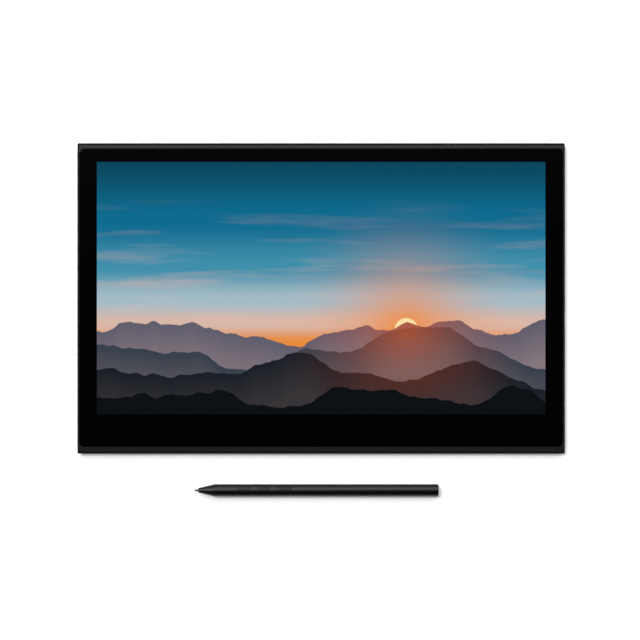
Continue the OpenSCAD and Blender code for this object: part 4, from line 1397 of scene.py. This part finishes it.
@dataclass
class Studio:
    """Floor, lights and camera of the photograph.

    Attributes:
        floor_reach: Half the width of the floor.
        floor_drop: How far the floor lies under the feet, so that the two don't share a plane.
        floor_colour: sRGB hex colour of the paper.
        floor_lift: Light of its own that makes the lit floor white for the camera.
        sun_way: Way to the overhead lamp, a little to the left and beyond the far edge.
        sun_spread_deg: Angle across the overhead lamp, which makes its shadows soft.
        sun_power: Its light on a surface that faces it, in watts per square metre.
        glow_way: Way to the middle of the broad glow beyond the far edge.
        glow_long: How many times longer along X than upward the glow is.
        glow_reach_deg: Angle from its middle to where the glow ends, going up or down.
        glow_core_deg: Angle from its middle within which the glow is full.
        glow_power: Strength of the glow in its middle.
        glow_fall: How steeply the glow falls off; higher is steeper.
        zenith: Strength of the room straight above.
        horizon: Strength of the room at the horizon.
        dimming: Sines of the heights between which the room dims from the one to the other.
        lens: Focal length in millimetres.
        sensor: Width of the sensor in millimetres.
        clip: Nearest and farthest distance that the camera sees.
        view_width: Width of the picture at the top of the glass.
        view_x: Place of the picture's middle along X.
        view_y: Place of the picture's middle along Y.
    """

    floor_reach: float = 30.0
    floor_drop: float = 0.05 * MM
    floor_colour: str = "#F2F2F2"
    floor_lift: float = 0.2
    sun_way: tuple[float, float, float] = (-0.36, 0.27, 1.0)
    sun_spread_deg: float = 17.0
    sun_power: float = 2.0
    glow_way: tuple[float, float, float] = (-0.08, 0.69, 0.72)
    glow_long: float = 1.7
    glow_reach_deg: float = 43.0
    glow_core_deg: float = 6.0
    glow_power: float = 3.3
    glow_fall: float = 2.4
    zenith: float = 0.015
    horizon: float = 0.12
    dimming: tuple[float, float] = (0.1, 0.92)
    lens: float = 100.0
    sensor: float = 36.0
    clip: tuple[float, float] = (0.01, 100.0)
    view_width: float = 420.1 * MM
    view_x: float = -0.74 * MM
    view_y: float = -0.04 * MM

    def build(self) -> None:
        """Makes the stage, its lights and the camera."""
        self.floor()
        self.sun()
        self.world()
        self.camera()
        bpy.context.scene.view_settings.view_transform = "Standard"

    def floor(self) -> None:
        """Lays a white paper floor that keeps the shadows and is white for the camera and in reflections."""
        mesh = bpy.data.meshes.new("floor")
        reach, level = self.floor_reach, -self.floor_drop
        corners = [(-reach, -reach, level), (reach, -reach, level), (reach, reach, level), (-reach, reach, level)]
        mesh.from_pydata(corners, [], [(0, 1, 2, 3)])
        # Matte background paper: white, with soft shadows
        paper = bpy.data.materials.new("White_seamless_paper")
        tree = bare_tree(paper)
        lit = add(tree, "ShaderNodeBsdfDiffuse", {"Color": linear(self.floor_colour)})
        path = add(tree, "ShaderNodeLightPath").outputs
        seen = path["Is Camera Ray"]
        for ray in ("Is Glossy Ray", "Is Transmission Ray"):
            seen = add(tree, "ShaderNodeMath", {0: seen, 1: path[ray]}, operation="MAXIMUM").outputs["Value"]
        lift = add(tree, "ShaderNodeMath", {0: seen, 1: self.floor_lift}, operation="MULTIPLY")
        glow = add(tree, "ShaderNodeEmission", {"Strength": lift.outputs["Value"]})
        both = add(tree, "ShaderNodeAddShader", {0: lit.outputs["BSDF"], 1: glow.outputs["Emission"]})
        add(tree, "ShaderNodeOutputMaterial", {"Surface": both.outputs["Shader"]})
        mesh.materials.append(paper)
        as_object("floor", mesh)

    def sun(self) -> None:
        """Hangs the overhead lamp, whose light is the same all over the floor."""
        lamp = bpy.data.lights.new("overhead_lamp", "SUN")
        lamp.energy = self.sun_power
        lamp.angle = math.radians(self.sun_spread_deg)
        hung = bpy.data.objects.new("overhead_lamp", lamp)
        hung.location = self.sun_way
        hung.rotation_euler = (-Vector(self.sun_way)).to_track_quat("-Z", "Y").to_euler()
        bpy.context.scene.collection.objects.link(hung)

    def world(self) -> None:
        """Makes a room that is dark above the glass and has a long glow beyond the far edge."""
        world = bpy.data.worlds.new("Studio_room")
        tree = bare_tree(world)
        way = add(tree, "ShaderNodeTexCoord").outputs["Generated"]
        walls = add(
            tree,
            "ShaderNodeMapRange",
            {
                "Value": add(tree, "ShaderNodeSeparateXYZ", {"Vector": way}).outputs["Z"],
                "From Min": self.dimming[0],
                "From Max": self.dimming[1],
                "To Min": self.horizon,
                "To Max": self.zenith,
            },
            interpolation_type="SMOOTHSTEP",
        )
        away = way
        middle, squeeze = tuple(Vector(self.glow_way).normalized()), (1 / self.glow_long, 1.0, 1.0)
        for operation, by in (("SUBTRACT", middle), ("MULTIPLY", squeeze)):
            away = add(tree, "ShaderNodeVectorMath", {0: away, 1: by}, operation=operation).outputs["Vector"]
        gap = add(tree, "ShaderNodeVectorMath", {0: away, 1: away}, operation="DOT_PRODUCT").outputs["Value"]
        # Two ways of length 1 that are an angle apart end this far from each other, squared
        end, full = (2 - 2 * math.cos(math.radians(turn)) for turn in (self.glow_reach_deg, self.glow_core_deg))
        near = add(tree, "ShaderNodeMapRange", {"Value": gap, "From Min": end, "From Max": full})
        fall = add(tree, "ShaderNodeMath", {0: near.outputs["Result"], 1: self.glow_fall}, operation="POWER")
        level = add(
            tree,
            "ShaderNodeMath",
            {0: fall.outputs["Value"], 1: self.glow_power, 2: walls.outputs["Result"]},
            operation="MULTIPLY_ADD",
        )
        room = add(tree, "ShaderNodeBackground", {"Color": WHITE, "Strength": level.outputs["Value"]})
        add(tree, "ShaderNodeOutputWorld", {"Surface": room.outputs["Background"]})
        bpy.context.scene.world = world

    def camera(self) -> None:
        """Hangs the camera straight above the set, with the far edge at the top of the picture."""
        lens = bpy.data.cameras.new("camera")
        lens.lens, lens.sensor_width = self.lens, self.sensor
        lens.clip_start, lens.clip_end = self.clip
        hung = bpy.data.objects.new("camera", lens)
        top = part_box("cover_glass")[1].z
        hung.location = (self.view_x, self.view_y, top + self.view_width * self.lens / self.sensor)
        bpy.context.scene.collection.objects.link(hung)
        bpy.context.scene.camera = hung


def main() -> None:
    """Builds the set piece by piece, then its stage."""
    logging.basicConfig(level=logging.INFO, format="%(name)s: %(message)s")
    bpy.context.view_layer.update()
    for part in (GlassFront(), Housing(), SideSockets(), PowerKey(), Electronics(), Pen()):
        LOG.info("%s: %d new pieces", type(part).__name__, len(part.build()))
    Studio().build()


if __name__ == "__main__":
    main()
